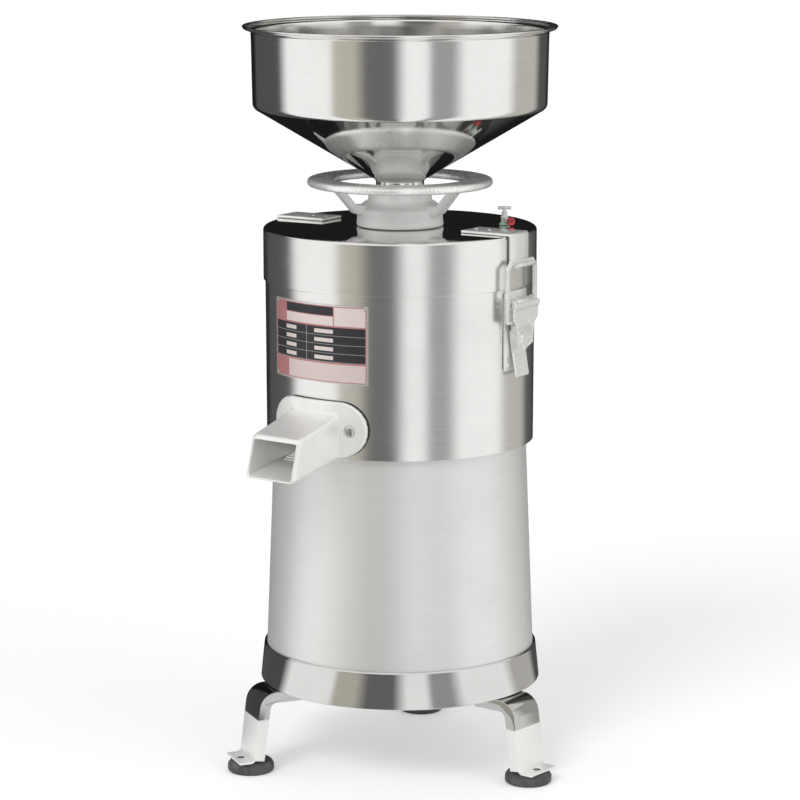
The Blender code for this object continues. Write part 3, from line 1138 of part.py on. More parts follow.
def build_latch_plate(side, station):
    """Plate on the chamber with two ears, and the pivot pin they hold."""
    height = LATCH_PLATE_TOP_Z - LATCH_PLATE_LOW_Z
    centre = (0, -(LATCH_PLATE_R + LATCH_PLATE_THICK / 2), LATCH_PLATE_LOW_Z + height / 2)
    body = box_mesh(f"latch_plate_{side}", (LATCH_PLATE_WIDTH, LATCH_PLATE_THICK, height), centre)
    plate = add_part(f"latch_plate_{side}", body, "polished_steel", station)
    root = LATCH_PLATE_R + LATCH_PLATE_THICK / 2
    pivot = (LATCH_PIVOT_R, LATCH_PIVOT_Z)
    ear_outline = [(root, LATCH_PIVOT_Z - 2 * LATCH_EAR_R)] + arc(pivot, LATCH_EAR_R, -LATCH_EAR_ARC, LATCH_EAR_ARC, 4)
    ear_outline += [(root, LATCH_PIVOT_Z + 2 * LATCH_EAR_R)]
    ear_x = LATCH_PLATE_WIDTH / 2 - LATCH_EAR_THICK / 2
    for number, x in enumerate((ear_x, -ear_x), 1):
        ear = outline_mesh("latch_ear", [ear_outline], LATCH_EAR_THICK, RADIAL_PLANE, (x, 0, 0))
        join(plate, add_cutter(f"latch_ear_{side}_{number}", ear, station))
    axis = (0, -LATCH_PIVOT_R, LATCH_PIVOT_Z)
    hole = rod_mesh("pin_hole", LATCH_PIN_R + PIVOT_GAP, 2 * LATCH_PLATE_WIDTH, axis, TANGENT_AXIS)
    cut(plate, add_cutter(f"plate_pin_hole_{side}", hole, station))
    pin = rod_mesh(f"latch_pin_{side}", LATCH_PIN_R, LATCH_PLATE_WIDTH + LATCH_EAR_THICK / 2, axis, TANGENT_AXIS)
    add_part(f"latch_pin_{side}", pin, "machined_steel", station, axis)


def build_lever(side, station):
    """Folded lever with two cheeks round its pivot and a flared finger tab."""
    pivot = (LATCH_PIVOT_R, LATCH_PIVOT_Z)
    knuckle = (LATCH_PIVOT_R, LOOP_PIVOT_Z)
    face = LATCH_PIVOT_R + LEVER_FACE_OUT
    inner_face = face - LEVER_SKIN
    tip = face + LEVER_TIP_FLARE
    outline = [(face, LATCH_PIVOT_Z - LATCH_KNUCKLE_R)]
    outline += arc(pivot, LATCH_KNUCKLE_R, LATCH_KNUCKLE_ARC, 180, 4)
    outline += arc(knuckle, LATCH_KNUCKLE_R, 180, 270, 2)
    outline += [(inner_face, LEVER_BODY_LOW_Z + 3 * LATCH_KNUCKLE_R), (inner_face, LEVER_BODY_LOW_Z),
                (tip - LEVER_SKIN, LEVER_TIP_Z), (tip, LEVER_TIP_Z), (face, LEVER_BODY_LOW_Z)]
    body = outline_mesh(f"latch_lever_{side}", [outline], LEVER_WIDTH, RADIAL_PLANE)
    axis = (0, -LATCH_PIVOT_R, LATCH_PIVOT_Z)
    lever = add_part(f"latch_lever_{side}", body, "polished_steel", station, axis)
    hollow_high = LATCH_PIVOT_Z + 2 * LATCH_KNUCKLE_R
    hollow_size = (LEVER_WIDTH - 2 * LEVER_CHEEK, inner_face - CHAMBER_TOP_R + LATCH_THROW,
                   hollow_high - LEVER_BODY_LOW_Z)
    hollow_place = (0, -inner_face + hollow_size[1] / 2, (hollow_high + LEVER_BODY_LOW_Z) / 2)
    cut(lever, add_cutter(f"lever_hollow_{side}", box_mesh("lever_hollow", hollow_size, hollow_place), station))
    for name, height in (("pivot", LATCH_PIVOT_Z), ("loop", LOOP_PIVOT_Z)):
        hole = rod_mesh("lever_hole", LATCH_PIN_R + PIVOT_GAP, 2 * LEVER_WIDTH, (0, -LATCH_PIVOT_R, height),
                        TANGENT_AXIS)
        cut(lever, add_cutter(f"lever_{name}_hole_{side}", hole, station))


def build_loop(side, station):
    """Wire loop: an upright frame whose lower bar turns in the lever's cheeks."""
    half = LOOP_WIDTH / 2
    window = half - LOOP_BAR
    low = LOOP_PIVOT_Z
    bar_low = LOOP_TOP_Z - LOOP_TOP_BAR
    outline = [(-half, low), (-window, low), (-window, bar_low - LOOP_BAR), (-window + LOOP_BAR, bar_low),
               (window - LOOP_BAR, bar_low), (window, bar_low - LOOP_BAR), (window, low), (half, low),
               (half, LOOP_TOP_Z - LOOP_CHAMFER), (half - LOOP_CHAMFER, LOOP_TOP_Z),
               (LOOP_CHAMFER - half, LOOP_TOP_Z), (-half, LOOP_TOP_Z - LOOP_CHAMFER)]
    axis = (0, -LATCH_PIVOT_R, low)
    frame = outline_mesh(f"latch_loop_{side}", [outline], LOOP_THICK, FACING_PLANE, (0, -LATCH_PIVOT_R, 0))
    loop = add_part(f"latch_loop_{side}", frame, "polished_steel", station, axis)
    bar = rod_mesh("loop_bar", LATCH_PIN_R, LOOP_WIDTH - LOOP_BAR / 2, axis, TANGENT_AXIS)
    join(loop, add_cutter(f"loop_bar_{side}", bar, station))


# Data plate

def build_data_plate():
    station = empty("plate_station", angle=PLATE_ANGLE, parent=MACHINE)
    half = PLATE_WIDTH / 2
    outline = [(-half, PLATE_LOW_Z), (half, PLATE_LOW_Z), (half, PLATE_TOP_Z), (-half, PLATE_TOP_Z)]
    inner = CHAMBER_TOP_R + GAP
    curved_plate("data_plate", outline, inner, inner + PLATE_THICK, "plate_foil", station, SPOUT_FLANGE_LOBE)


# Hand wheel and hopper

def build_hand_wheel():
    """Cast wheel: threaded hub, collar for the hopper neck, flat rim and slanted spokes."""
    bead = WHEEL_BEAD
    bead_top = WHEEL_BOTTOM_Z + 3 * bead
    profile = [(WHEEL_COLLAR_R, WHEEL_COLLAR_TOP_Z), (WHEEL_COLLAR_R, WHEEL_SHOULDER_Z),
               (WHEEL_HUB_R - bead, WHEEL_SHOULDER_Z), (WHEEL_HUB_R, WHEEL_SHOULDER_Z - bead),
               (WHEEL_HUB_R, bead_top), (WHEEL_HUB_R + bead, bead_top - bead),
               (WHEEL_HUB_R + bead, WHEEL_BOTTOM_Z), (HUB_BORE, WHEEL_BOTTOM_Z), (HUB_BORE, WHEEL_CEILING_Z),
               (HOPPER_NECK_R + GAP, WHEEL_CEILING_Z), (HOPPER_NECK_R + GAP, WHEEL_COLLAR_TOP_Z)]
    wheel = turned("hand_wheel", profile, "cast_aluminium", LARGE_STEPS)
    low = WHEEL_RIM_TOP_Z - WHEEL_RIM_THICK
    edge = WHEEL_RIM_THICK * 0.35
    waist = low + WHEEL_RIM_THICK / 2
    rim_profile = [(WHEEL_RIM_OUTER_R - edge, WHEEL_RIM_TOP_Z), (WHEEL_RIM_OUTER_R, waist),
                   (WHEEL_RIM_OUTER_R - edge, low), (WHEEL_RIM_INNER_R + edge, low),
                   (WHEEL_RIM_INNER_R, waist), (WHEEL_RIM_INNER_R + edge, WHEEL_RIM_TOP_Z)]
    join(wheel, turned_cutter("wheel_rim", rim_profile))
    hub_in = (BOSS_RADIUS + WHEEL_HUB_R) / 2 + GAP
    rim_middle = (WHEEL_RIM_OUTER_R + WHEEL_RIM_INNER_R) / 2
    root_z = bead_top + SPOKE_THICK / 2
    path = [(rim_middle, low + WHEEL_RIM_THICK / 2), (WHEEL_HUB_R + 1.5 * SPOKE_THICK, root_z + SPOKE_THICK),
            (hub_in, root_z + SPOKE_THICK)]
    under = [(rim_middle + SPOKE_THICK, low + WHEEL_RIM_THICK / 2), (WHEEL_HUB_R + SPOKE_THICK * 1.7, root_z),
             (hub_in, root_z - SPOKE_THICK / 2)]
    spoke_mesh = outline_mesh("wheel_spoke", [path + under[::-1]], SPOKE_WIDTH, RADIAL_PLANE)
    for number, angle in enumerate(SPOKE_ANGLES, 1):
        station = empty(f"spoke_station_{number}", angle=angle, parent=MACHINE)
        join(wheel, add_cutter(f"wheel_spoke_{number}", spoke_mesh, station))
    turned("retaining_ring", ring_profile(BOSS_RADIUS, SLEEVE_RADIUS + KEY_HEIGHT,
                                          RETAINER_TOP_Z - RETAINER_THICK, RETAINER_TOP_Z), "machined_steel",
           MEDIUM_STEPS)


def hopper_path():
    """Outer face of the hopper from its rolled lip down to the open neck."""
    lip_z = HOPPER_TOP_Z - HOPPER_LIP
    return [(HOPPER_RIM_R, HOPPER_TOP_Z), (HOPPER_RIM_R, HOPPER_TOP_Z - HOPPER_SHEET),
            (HOPPER_WALL_TOP_R, lip_z - HOPPER_SHEET), (HOPPER_WALL_LOW_R, HOPPER_BEND_Z + HOPPER_BEND / 2),
            (HOPPER_WALL_LOW_R - HOPPER_BEND, HOPPER_BEND_Z - HOPPER_BEND / 2),
            (HOPPER_NECK_R, HOPPER_NECK_TOP_Z), (HOPPER_NECK_R, NECK_LOW_Z)]


def build_hopper():
    path = hopper_path()
    inner = offset_path(path[1:], HOPPER_SHEET)
    rim = (HOPPER_RIM_R - HOPPER_SHEET, HOPPER_TOP_Z)
    turned("hopper", path + inner[:0:-1] + [rim], "polished_steel")


def settle_parts():
    """Freeze every part's modifiers into its mesh and mark its sharp edges."""
    bpy.context.view_layer.update()
    graph = bpy.context.evaluated_depsgraph_get()
    settled = {part: bpy.data.meshes.new_from_object(part.evaluated_get(graph)) for part in PARTS.objects}
    for part, mesh in settled.items():
        part.modifiers.clear()
        part.data = mesh
        mesh.shade_smooth()
        mesh.set_sharp_from_angle(angle=math.radians(30))


def main():
    build_base()
    build_legs()
    build_casing()
    build_motor()
    build_chamber()
    build_basket()
    build_stones()
    build_feed_sleeve()
    build_cover()
    build_water_valve()
    build_latches()
    build_data_plate()
    build_hand_wheel()
    build_hopper()
    settle_parts()


main()
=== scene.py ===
"""Looks of an upright soy milk grinder.

Polished hopper, cast hand wheel, satin chamber with a cast spout, matt motor casing
and three bent legs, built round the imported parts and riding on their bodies.
"""
import json
import math

import bmesh
import bpy
from mathutils import Matrix, Vector

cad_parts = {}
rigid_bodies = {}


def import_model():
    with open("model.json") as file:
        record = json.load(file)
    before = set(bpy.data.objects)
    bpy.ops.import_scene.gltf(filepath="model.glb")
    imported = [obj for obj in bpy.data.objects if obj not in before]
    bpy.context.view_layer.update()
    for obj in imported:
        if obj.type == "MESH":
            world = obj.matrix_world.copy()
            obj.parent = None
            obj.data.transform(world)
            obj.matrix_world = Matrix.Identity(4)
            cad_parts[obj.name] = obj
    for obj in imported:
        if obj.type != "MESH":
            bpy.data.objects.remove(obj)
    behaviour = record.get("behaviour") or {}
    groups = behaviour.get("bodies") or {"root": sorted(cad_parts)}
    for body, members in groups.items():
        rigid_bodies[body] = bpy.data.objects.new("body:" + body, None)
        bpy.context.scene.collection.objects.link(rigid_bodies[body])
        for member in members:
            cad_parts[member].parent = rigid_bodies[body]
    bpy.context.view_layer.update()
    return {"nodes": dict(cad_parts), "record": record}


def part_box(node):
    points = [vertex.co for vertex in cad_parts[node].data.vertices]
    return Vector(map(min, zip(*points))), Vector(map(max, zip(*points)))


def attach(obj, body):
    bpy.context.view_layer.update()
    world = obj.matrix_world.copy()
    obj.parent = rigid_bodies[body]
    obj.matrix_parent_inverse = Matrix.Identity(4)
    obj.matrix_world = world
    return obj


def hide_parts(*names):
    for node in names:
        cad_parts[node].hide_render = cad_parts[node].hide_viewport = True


bl_info = {
    "name": "Soy milk grinder looks",
    "version": (1, 0, 0),
    "blender": (4, 5, 0),
    "location": "3D View > Sidebar > Grinder",
    "description": "Smooth pieces and metal finishes for a soy milk grinder",
    "category": "Object",
}

for spare in list(bpy.data.objects):
    bpy.data.objects.remove(spare, do_unlink=True)
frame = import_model()

MM = 0.001
ROUND_STEPS = 192
SMALL_ROUND_STEPS = 48
QUARTER_TURN = math.radians(90)
# Largest share of an edge that the rounding of one of its ends may take
ROUNDING_SHARE = 0.49
# A ring below this radius closes to one point on the axis
POLE_RADIUS = 1e-7
# Points of an outline nearer than this count as one
SAME_POINT = 0.02 * MM


def node_radius(node):
    """Outer radius of a turned node."""
    low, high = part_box(node)
    return (high.x - low.x) / 2


def node_heights(node):
    low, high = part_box(node)
    return low.z, high.z


def node_middle(node):
    low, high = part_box(node)
    return (low + high) / 2


AXIS = Vector((node_middle("cover_skin").x, node_middle("cover_skin").y, 0))


# Curves and profiles

def fillet_path(points, closed=True, steps=6):
    """Corners given as (r, z, radius) are rounded with an arc; (r, z) stays sharp."""
    path = []
    count = len(points)
    for index, point in enumerate(points):
        here = Vector(point[:2])
        radius = point[2] if len(point) > 2 else 0.0
        if radius <= 0 or (not closed and index in (0, count - 1)):
            path.append(here)
            continue
        back = Vector(points[index - 1][:2]) - here
        ahead = Vector(points[(index + 1) % count][:2]) - here
        half = back.angle(ahead) / 2
        reach = min(radius / math.tan(half), ROUNDING_SHARE * back.length, ROUNDING_SHARE * ahead.length)
        radius = reach * math.tan(half)
        start = here + back.normalized() * reach
        end = here + ahead.normalized() * reach
        centre = here + (back.normalized() + ahead.normalized()).normalized() * radius / math.sin(half)
        first = math.atan2(start.y - centre.y, start.x - centre.x)
        last = math.atan2(end.y - centre.y, end.x - centre.x)
        turn = (last - first + math.pi) % math.tau - math.pi
        for step in range(steps + 1):
            angle = first + turn * step / steps
            path.append(centre + Vector((math.cos(angle), math.sin(angle))) * radius)
    return path


def offset_path(path, distance):
    """Open path moved to its right by a distance, with mitred corners."""
    moved = []
    for index, here in enumerate(path):
        here = Vector(here)
        sides = []
        if index > 0:
            sides.append((here - Vector(path[index - 1])).normalized())
        if index < len(path) - 1:
            sides.append((Vector(path[index + 1]) - here).normalized())
        normals = [Vector((side.y, -side.x)) for side in sides]
        middle = sum(normals, Vector((0, 0))).normalized()
        moved.append(here + middle * (distance / middle.dot(normals[0])))
    return moved


def arc_points(centre, radius, start, end, steps):
    points = []
    for step in range(steps + 1):
        angle = math.radians(start + (end - start) * step / steps)
        points.append((centre[0] + radius * math.cos(angle), centre[1] + radius * math.sin(angle)))
    return points


def station(azimuth):
    """Place of a piece that was drawn at the front of the machine axis."""
    return Matrix.Translation(AXIS) @ Matrix.Rotation(math.radians(azimuth), 4, "Z")


# Meshes

def link(name, mesh, material=None):
    piece = bpy.data.objects.new(name, mesh)
    bpy.context.scene.collection.objects.link(piece)
    if material:
        repaint(piece, material)
    return piece


def repaint(piece, material):
    """Give a piece one material and drop those that its cutters brought."""
    piece.data.materials.clear()
    piece.data.materials.append(material)


def take_mesh(piece):
    """Mesh of a helper piece, whose object goes."""
    mesh = piece.data.copy()
    bpy.data.objects.remove(piece, do_unlink=True)
    return mesh


def plain_mesh(shape, name):
    mesh = bpy.data.meshes.new(name)
    shape.to_mesh(mesh)
    shape.free()
    return mesh


def mesh_from(shape, name):
    """Mesh of a closed shape, with its faces turned outwards."""
    bmesh.ops.recalc_face_normals(shape, faces=shape.faces)
    return plain_mesh(shape, name)


def shade(piece, angle=32):
    piece.data.shade_smooth()
    piece.data.set_sharp_from_angle(angle=math.radians(angle))
    return piece


def settle(piece):
    """Turn a piece's modifiers into plain mesh."""
    bpy.context.view_layer.update()
    graph = bpy.context.evaluated_depsgraph_get()
    mesh = bpy.data.meshes.new_from_object(piece.evaluated_get(graph))
    mesh.name = piece.name
    piece.modifiers.clear()
    piece.data = mesh
    return piece


def revolved(name, profile, steps=ROUND_STEPS, closed=True, centre=(0, 0)):
    """Mesh turned round the machine axis from (r, z) points, poles closed."""
    shape = bmesh.new()
    rings = []
    for point in profile:
        if point[0] < POLE_RADIUS:
            rings.append([shape.verts.new((centre[0], centre[1], point[1]))])
            continue
        ring = []
        for step in range(steps):
            angle = math.tau * step / steps
            ring.append(shape.verts.new((centre[0] + point[0] * math.sin(angle),
                                         centre[1] - point[0] * math.cos(angle), point[1])))
        rings.append(ring)
    pairs = list(zip(rings, rings[1:]))
    if closed:
        pairs.append((rings[-1], rings[0]))
    for upper, lower in pairs:
        for step in range(steps):
            after = (step + 1) % steps
            if len(upper) == 1 and len(lower) == 1:
                break
            if len(upper) == 1:
                shape.faces.new((upper[0], lower[after], lower[step]))
            elif len(lower) == 1:
                shape.faces.new((upper[step], upper[after], lower[0]))
            else:
                shape.faces.new((upper[step], upper[after], lower[after], lower[step]))
    return mesh_from(shape, name)


def lathed(name, points, steps, centre=(0, 0)):
    """Solid turned from a half profile that starts and ends on its axis."""
    return revolved(name, fillet_path(points, closed=False), steps, closed=False, centre=centre)


def turned_piece(name, points, material, steps=ROUND_STEPS, closed=True, place=None):
    mesh = revolved(name, fillet_path(points, closed), steps, closed)
    mesh.transform(Matrix.Translation(AXIS) if place is None else place)
    return shade(link(name, mesh, material))


def distinct(outline):
    """Outline without points that fall on the one before."""
    kept = [Vector(outline[0])]
    for point in outline[1:]:
        point = Vector(point)
        if min((point - kept[-1]).length, (point - kept[0]).length) > SAME_POINT:
            kept.append(point)
    return kept


def prism(name, near, far):
    """Solid between two outlines with the same number of corners."""
    shape = bmesh.new()
    sides = [[shape.verts.new(corner) for corner in side] for side in (near, far)]
    shape.faces.new(sides[0])
    shape.faces.new(sides[1][::-1])
    count = len(near)
    for index in range(count):
        after = (index + 1) % count
        shape.faces.new((sides[0][index], sides[1][index], sides[1][after], sides[0][after]))
    return mesh_from(shape, name)


def extruded(name, outline, width, x=0.0):
    """Solid from an (r, z) outline, thickened sideways about the tangential place x."""
    outline = distinct(outline)
    return prism(name, *[[(x + side * width, -r, z) for r, z in outline] for side in (-0.5, 0.5)])


def facing_slab(name, outline, near, far):
    """Solid from an (x, z) outline, reaching from one radius to another."""
    outline = distinct(outline)
    return prism(name, *[[(x, -r, z) for x, z in outline] for r in (near, far)])


def rod(name, radius, length, centre, axis="Z", steps=SMALL_ROUND_STEPS):
    shape = bmesh.new()
    turn = Matrix.Rotation(QUARTER_TURN, 4, "Y") if axis == "X" else Matrix.Identity(4)
    bmesh.ops.create_cone(shape, cap_ends=True, segments=steps, radius1=radius, radius2=radius,
                          depth=length, matrix=Matrix.Translation(centre) @ turn)
    return mesh_from(shape, name)


def combine(piece, mesh, operation):
    """Join or cut a mesh into a piece for good."""
    tool = link("tool", mesh)
    step = piece.modifiers.new("combine", "BOOLEAN")
    step.operation = operation
    step.object = tool
    settle(piece)
    bpy.data.objects.remove(tool, do_unlink=True)
    return piece


def gather(piece, mesh):
    """Add a closed mesh to a piece as it is; cast then makes them one body."""
    shape = bmesh.new()
    shape.from_mesh(piece.data)
    shape.from_mesh(mesh)
    shape.to_mesh(piece.data)
    shape.free()
    bpy.data.meshes.remove(mesh)


def soften(piece, width, segments=3, angle=30):
    """Round a piece's sharp edges."""
    round_off = piece.modifiers.new("round_off", "BEVEL")
    round_off.width = width
    round_off.segments = segments
    round_off.limit_method = "ANGLE"
    round_off.angle_limit = math.radians(angle)
    round_off.harden_normals = False
    return settle(piece)


def cast(piece, grain, passes):
    """Give a piece the soft edges and fillets of a casting."""
    remesh = piece.modifiers.new("grain", "REMESH")
    remesh.mode = "VOXEL"
    remesh.voxel_size = grain
    smooth = piece.modifiers.new("fettle", "SMOOTH")
    smooth.factor = 0.5
    smooth.iterations = passes
    settle(piece)
    piece.data.shade_smooth()
    return piece


def softened_copy(node, name, material, width, segments=3, angle=30):
    """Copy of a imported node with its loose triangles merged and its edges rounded."""
    shape = bmesh.new()
    shape.from_mesh(frame["nodes"][node].data)
    bmesh.ops.remove_doubles(shape, verts=shape.verts, dist=0.01 * MM)
    bmesh.ops.dissolve_limit(shape, angle_limit=math.radians(1), verts=shape.verts, edges=shape.edges)
    piece = link(name, plain_mesh(shape, name), material)
    soften(piece, width, segments, angle)
    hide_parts(node)
    return shade(piece, 40)


def mount(piece, body):
    """Put a finished piece on its body."""
    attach(piece, body)
    return piece


# Shader sums

class Term:
    """A number in a node tree that can be used in Python sums."""

    def __init__(self, book, socket):
        self.book = book
        self.socket = socket

    def math(self, operation, *others):
        return self.book.math(operation, self, *others)

    def __add__(self, other):
        return self.math("ADD", other)

    __radd__ = __add__

    def __sub__(self, other):
        return self.math("SUBTRACT", other)

    def __rsub__(self, other):
        return self.book.math("SUBTRACT", other, self)

    def __mul__(self, other):
        return self.math("MULTIPLY", other)

    __rmul__ = __mul__

    def __truediv__(self, other):
        return self.math("DIVIDE", other)

    def __gt__(self, other):
        return self.math("GREATER_THAN", other)

    def __lt__(self, other):
        return self.math("LESS_THAN", other)


class NodeBook:
    """Adds nodes to one tree."""

    def __init__(self, tree):
        self.tree = tree

    def node(self, kind, settings=None, values=None):
        """Any node, from its type, its settings, and the values or links of its sockets."""
        made = self.tree.nodes.new(kind)
        for name, value in (settings or {}).items():
            if name == "stops":
                self.set_stops(made.color_ramp, value)
            else:
                setattr(made, name, value)
        for name, value in (values or {}).items():
            self.feed(made.inputs[name], value)
        return made

    def set_stops(self, ramp, stops):
        while len(ramp.elements) > 1:
            ramp.elements.remove(ramp.elements[-1])
        ramp.elements[0].position = stops[0][0]
        ramp.elements[0].color = (*stops[0][1], 1)
        for position, colour in stops[1:]:
            ramp.elements.new(position).color = (*colour, 1)

    def feed(self, socket, value):
        if isinstance(value, Term):
            value = value.socket
        if isinstance(value, bpy.types.NodeSocket):
            self.tree.links.new(value, socket)
        elif socket.type == "RGBA" and len(value) == 3:
            socket.default_value = (*value, 1)
        else:
            socket.default_value = value

    def math(self, operation, *terms):
        made = self.node("ShaderNodeMath", {"operation": operation}, dict(enumerate(terms)))
        return Term(self, made.outputs[0])

    def mix(self, share, first, second):
        """Colour between two colours."""
        made = self.node("ShaderNodeMix", {"data_type": "RGBA"}, {0: share, 6: first, 7: second})
        return made.outputs[2]

    def blend(self, share, low, high):
        """Number between two numbers."""
        return low + share * (high - low)

    def ease(self, value, low, high):
        """0 to 1 as the value goes from low to high."""
        made = self.node("ShaderNodeMapRange", {"interpolation_type": "SMOOTHSTEP"},
                         {"Value": value, "From Min": low, "From Max": high})
        return Term(self, made.outputs["Result"])

    def ramp(self, share, stops):
        made = self.node("ShaderNodeValToRGB", {"stops": stops}, {"Fac": share})
        return made.outputs["Color"]

    def stretch(self, vector, scale):
        made = self.node("ShaderNodeVectorMath", {"operation": "MULTIPLY"}, {0: vector, 1: scale})
        return made.outputs[0]

    def noise(self, vector, scale, detail=3.0, roughness=0.55):
        made = self.node("ShaderNodeTexNoise", {},
                         {"Vector": vector, "Scale": scale, "Detail": detail, "Roughness": roughness})
        return Term(self, made.outputs["Fac"])

    def cells(self, vector, scale):
        made = self.node("ShaderNodeTexVoronoi", {}, {"Vector": vector, "Scale": scale})
        return Term(self, made.outputs["Distance"])


class Finish(NodeBook):
    """A procedural material on object coordinates, centred on the machine axis."""

    def __init__(self, name):
        self.material = bpy.data.materials.new(name)
        self.material.use_nodes = True
        super().__init__(self.material.node_tree)
        self.shader = self.tree.nodes["Principled BSDF"]
        coordinates = self.node("ShaderNodeTexCoord")
        centred = self.node("ShaderNodeVectorMath", {"operation": "SUBTRACT"},
                            {0: coordinates.outputs["Object"], 1: AXIS})
        self.place = centred.outputs[0]
        self.uv = coordinates.outputs["UV"]

    def split(self, vector):
        parts = self.node("ShaderNodeSeparateXYZ", {}, {0: vector})
        return [Term(self, socket) for socket in parts.outputs]

    def set(self, **values):
        names = {"colour": "Base Color", "roughness": "Roughness", "metallic": "Metallic",
                 "normal": "Normal"}
        for key, value in values.items():
            self.feed(self.shader.inputs[names[key]], value)

    def bump(self, height, distance, strength=1.0, under=None):
        values = {"Height": height, "Distance": distance, "Strength": strength}
        if under:
            values["Normal"] = under
        return self.node("ShaderNodeBump", {}, values).outputs["Normal"]


def tint(colour, share):
    return tuple(min(1.0, part * share) for part in colour)


def steel_sheet(name, colour, roughness, streaks, smudges, waves, upper=None, metallic=1.0, painted_light_region=None):
    """Stainless sheet, polished round the machine: fine rings, faint smudges, slow waves.

    upper is (height, roughness, tint, metallic) for a piece that is finished otherwise above a height; a tint
    below 1 is painted shade that darkens the part above that height.
    The last argument gives 1 where painted light goes, a brighter and less metallic colour, from the distance
    to the axis and the height.
    """
    finish = Finish(name)
    x, y, z = finish.split(finish.place)
    rings = finish.noise(finish.stretch(finish.place, (6, 6, 1600)), 1.0, 4.0, 0.7)
    lines = finish.noise(finish.stretch(finish.place, (14, 14, 420)), 1.0, 2.0)
    patches = finish.noise(finish.place, 11.0, 4.0, 0.6)
    wear = finish.ease(patches, 0.42, 0.78)
    level = roughness
    if upper:
        border, upper_roughness, upper_painted_shade_tint, upper_metallic = upper
        share = finish.ease(z, border - 1.2 * MM, border + 1.2 * MM)
        level = finish.blend(share, roughness, upper_roughness)
        metallic = finish.blend(share, metallic, upper_metallic)
    rough = level + (rings - 0.5) * streaks + (lines - 0.5) * streaks * 0.7 + wear * smudges
    shade_share = (rings - 0.5) * 0.5 + (lines - 0.5) * 0.6 + 0.5
    bright = finish.mix(shade_share, tint(colour, 0.93), tint(colour, 1.05))
    smudges_and_painted_light = finish.mix(wear * 0.25, bright, tint(colour, 0.80))
    # Painted shade: an upper tint below 1 darkens the part above its height.
    if upper and upper_painted_shade_tint < 1.0:
        smudges_and_painted_light = finish.mix(share * (1.0 - upper_painted_shade_tint), smudges_and_painted_light, (0, 0, 0))
    # Painted light: where the mask gives 1, the colour turns brighter and the sheet less metallic.
    if painted_light_region:
        painted_light_tint = 1.19
        painted_light_roughness = 0.14
        painted_light_metallic = 0.2
        inside = painted_light_region((x * x + y * y).math("SQRT"), z)
        smudges_and_painted_light = finish.mix(inside, smudges_and_painted_light, tint(colour, painted_light_tint))
        rough = finish.blend(inside, rough, painted_light_roughness)
        metallic = finish.blend(inside, metallic, painted_light_metallic)
    slow = finish.noise(finish.stretch(finish.place, (9, 9, 5)), 1.0, 1.0)
    normal = finish.bump(slow, waves)
    normal = finish.bump(rings, 0.004 * MM, 1.0, normal)
    finish.set(colour=smudges_and_painted_light, roughness=rough, metallic=metallic, normal=normal)
    finish.shader.inputs["Anisotropic"].default_value = 0.0
    return finish.material


def cast_metal(name, colour, roughness, grain_depth, metallic, polished_from=None):
    """Fettled casting: fine grain, small pits and polished spots, and brighter metal above a height."""
    finish = Finish(name)
    if polished_from:
        polished_roughness = 0.28
        polished_metallic = 0.55
        share = finish.ease(finish.split(finish.place)[2], polished_from - 1 * MM, polished_from + 1 * MM)
        roughness = finish.blend(share, roughness, polished_roughness)
        metallic = finish.blend(share, metallic, polished_metallic)
    grain = finish.noise(finish.place, 900.0, 3.0, 0.6)
    pits = finish.ease(finish.cells(finish.place, 260.0), 0.16, 0.0)
    patches = finish.noise(finish.place, 45.0, 4.0, 0.6)
    worn = finish.ease(patches, 0.45, 0.72)
    rough = (worn * -0.28 + 1.0) * roughness + (grain - 0.5) * 0.12
    body = finish.mix(patches, tint(colour, 0.88), tint(colour, 1.06))
    pitted = finish.mix(pits * 0.35, body, tint(colour, 0.62))
    normal = finish.bump(patches, 0.12 * MM)
    normal = finish.bump(grain + pits * -0.8, grain_depth, 1.0, normal)
    finish.set(colour=pitted, roughness=rough, metallic=metallic, normal=normal)
    return finish.material


def machined_metal(name, colour, roughness):
    """Turned steel with fine tool marks along its height."""
    finish = Finish(name)
    marks = finish.noise(finish.stretch(finish.place, (40, 40, 2600)), 1.0, 3.0)
    stain = finish.noise(finish.place, 60.0, 3.0)
    body = finish.mix(stain, tint(colour, 0.85), tint(colour, 1.1))
    normal = finish.bump(marks, 0.01 * MM)
    finish.set(colour=body, roughness=roughness + (marks - 0.5) * 0.14, metallic=1.0, normal=normal)
    return finish.material


def moulded(name, colour, roughness, grain_scale, grain_depth, bloom):
    """Moulded plastic or rubber with a fine grain and a faint dusty bloom."""
    finish = Finish(name)
    grain = finish.noise(finish.place, grain_scale, 3.0)
    dust = finish.ease(finish.noise(finish.place, 70.0, 4.0, 0.65), 0.4, 0.8)
    body = finish.mix(grain, tint(colour, 0.86), tint(colour, 1.12))
    dusty = finish.mix(dust * bloom, body, (0.45, 0.44, 0.42))
    normal = finish.bump(grain, grain_depth)
    finish.set(colour=dusty, roughness=roughness + (grain - 0.5) * 0.16, metallic=0.0, normal=normal)
    return finish.material


def stone_grit(name, colour):
    """Bonded abrasive stone: dark and light grit in a pale bond."""
    finish = Finish(name)
    grit = finish.cells(finish.place, 520.0)
    speckle = finish.noise(finish.place, 380.0, 4.0, 0.7)
    body = finish.mix(finish.ease(speckle, 0.35, 0.65), tint(colour, 0.6), tint(colour, 1.25))
    finish.set(colour=body, roughness=0.86 + (speckle - 0.5) * 0.2, metallic=0.0,
               normal=finish.bump(grit, 0.25 * MM))
    return finish.material


def wound_copper(name, colour):
    """Enamelled winding with its turns showing as fine bands."""
    finish = Finish(name)
    z = finish.split(finish.place)[2]
    turns = (z * 1800.0).math("SINE") * 0.5 + 0.5
    dark = finish.noise(finish.place, 90.0, 3.0)
    body = finish.mix(turns, tint(colour, 0.55), tint(colour, 1.2))
    finish.set(colour=finish.mix(dark * 0.3, body, (0.12, 0.05, 0.02)), roughness=0.35 + turns * 0.15,
               metallic=0.8, normal=finish.bump(turns, 0.2 * MM))
    return finish.material


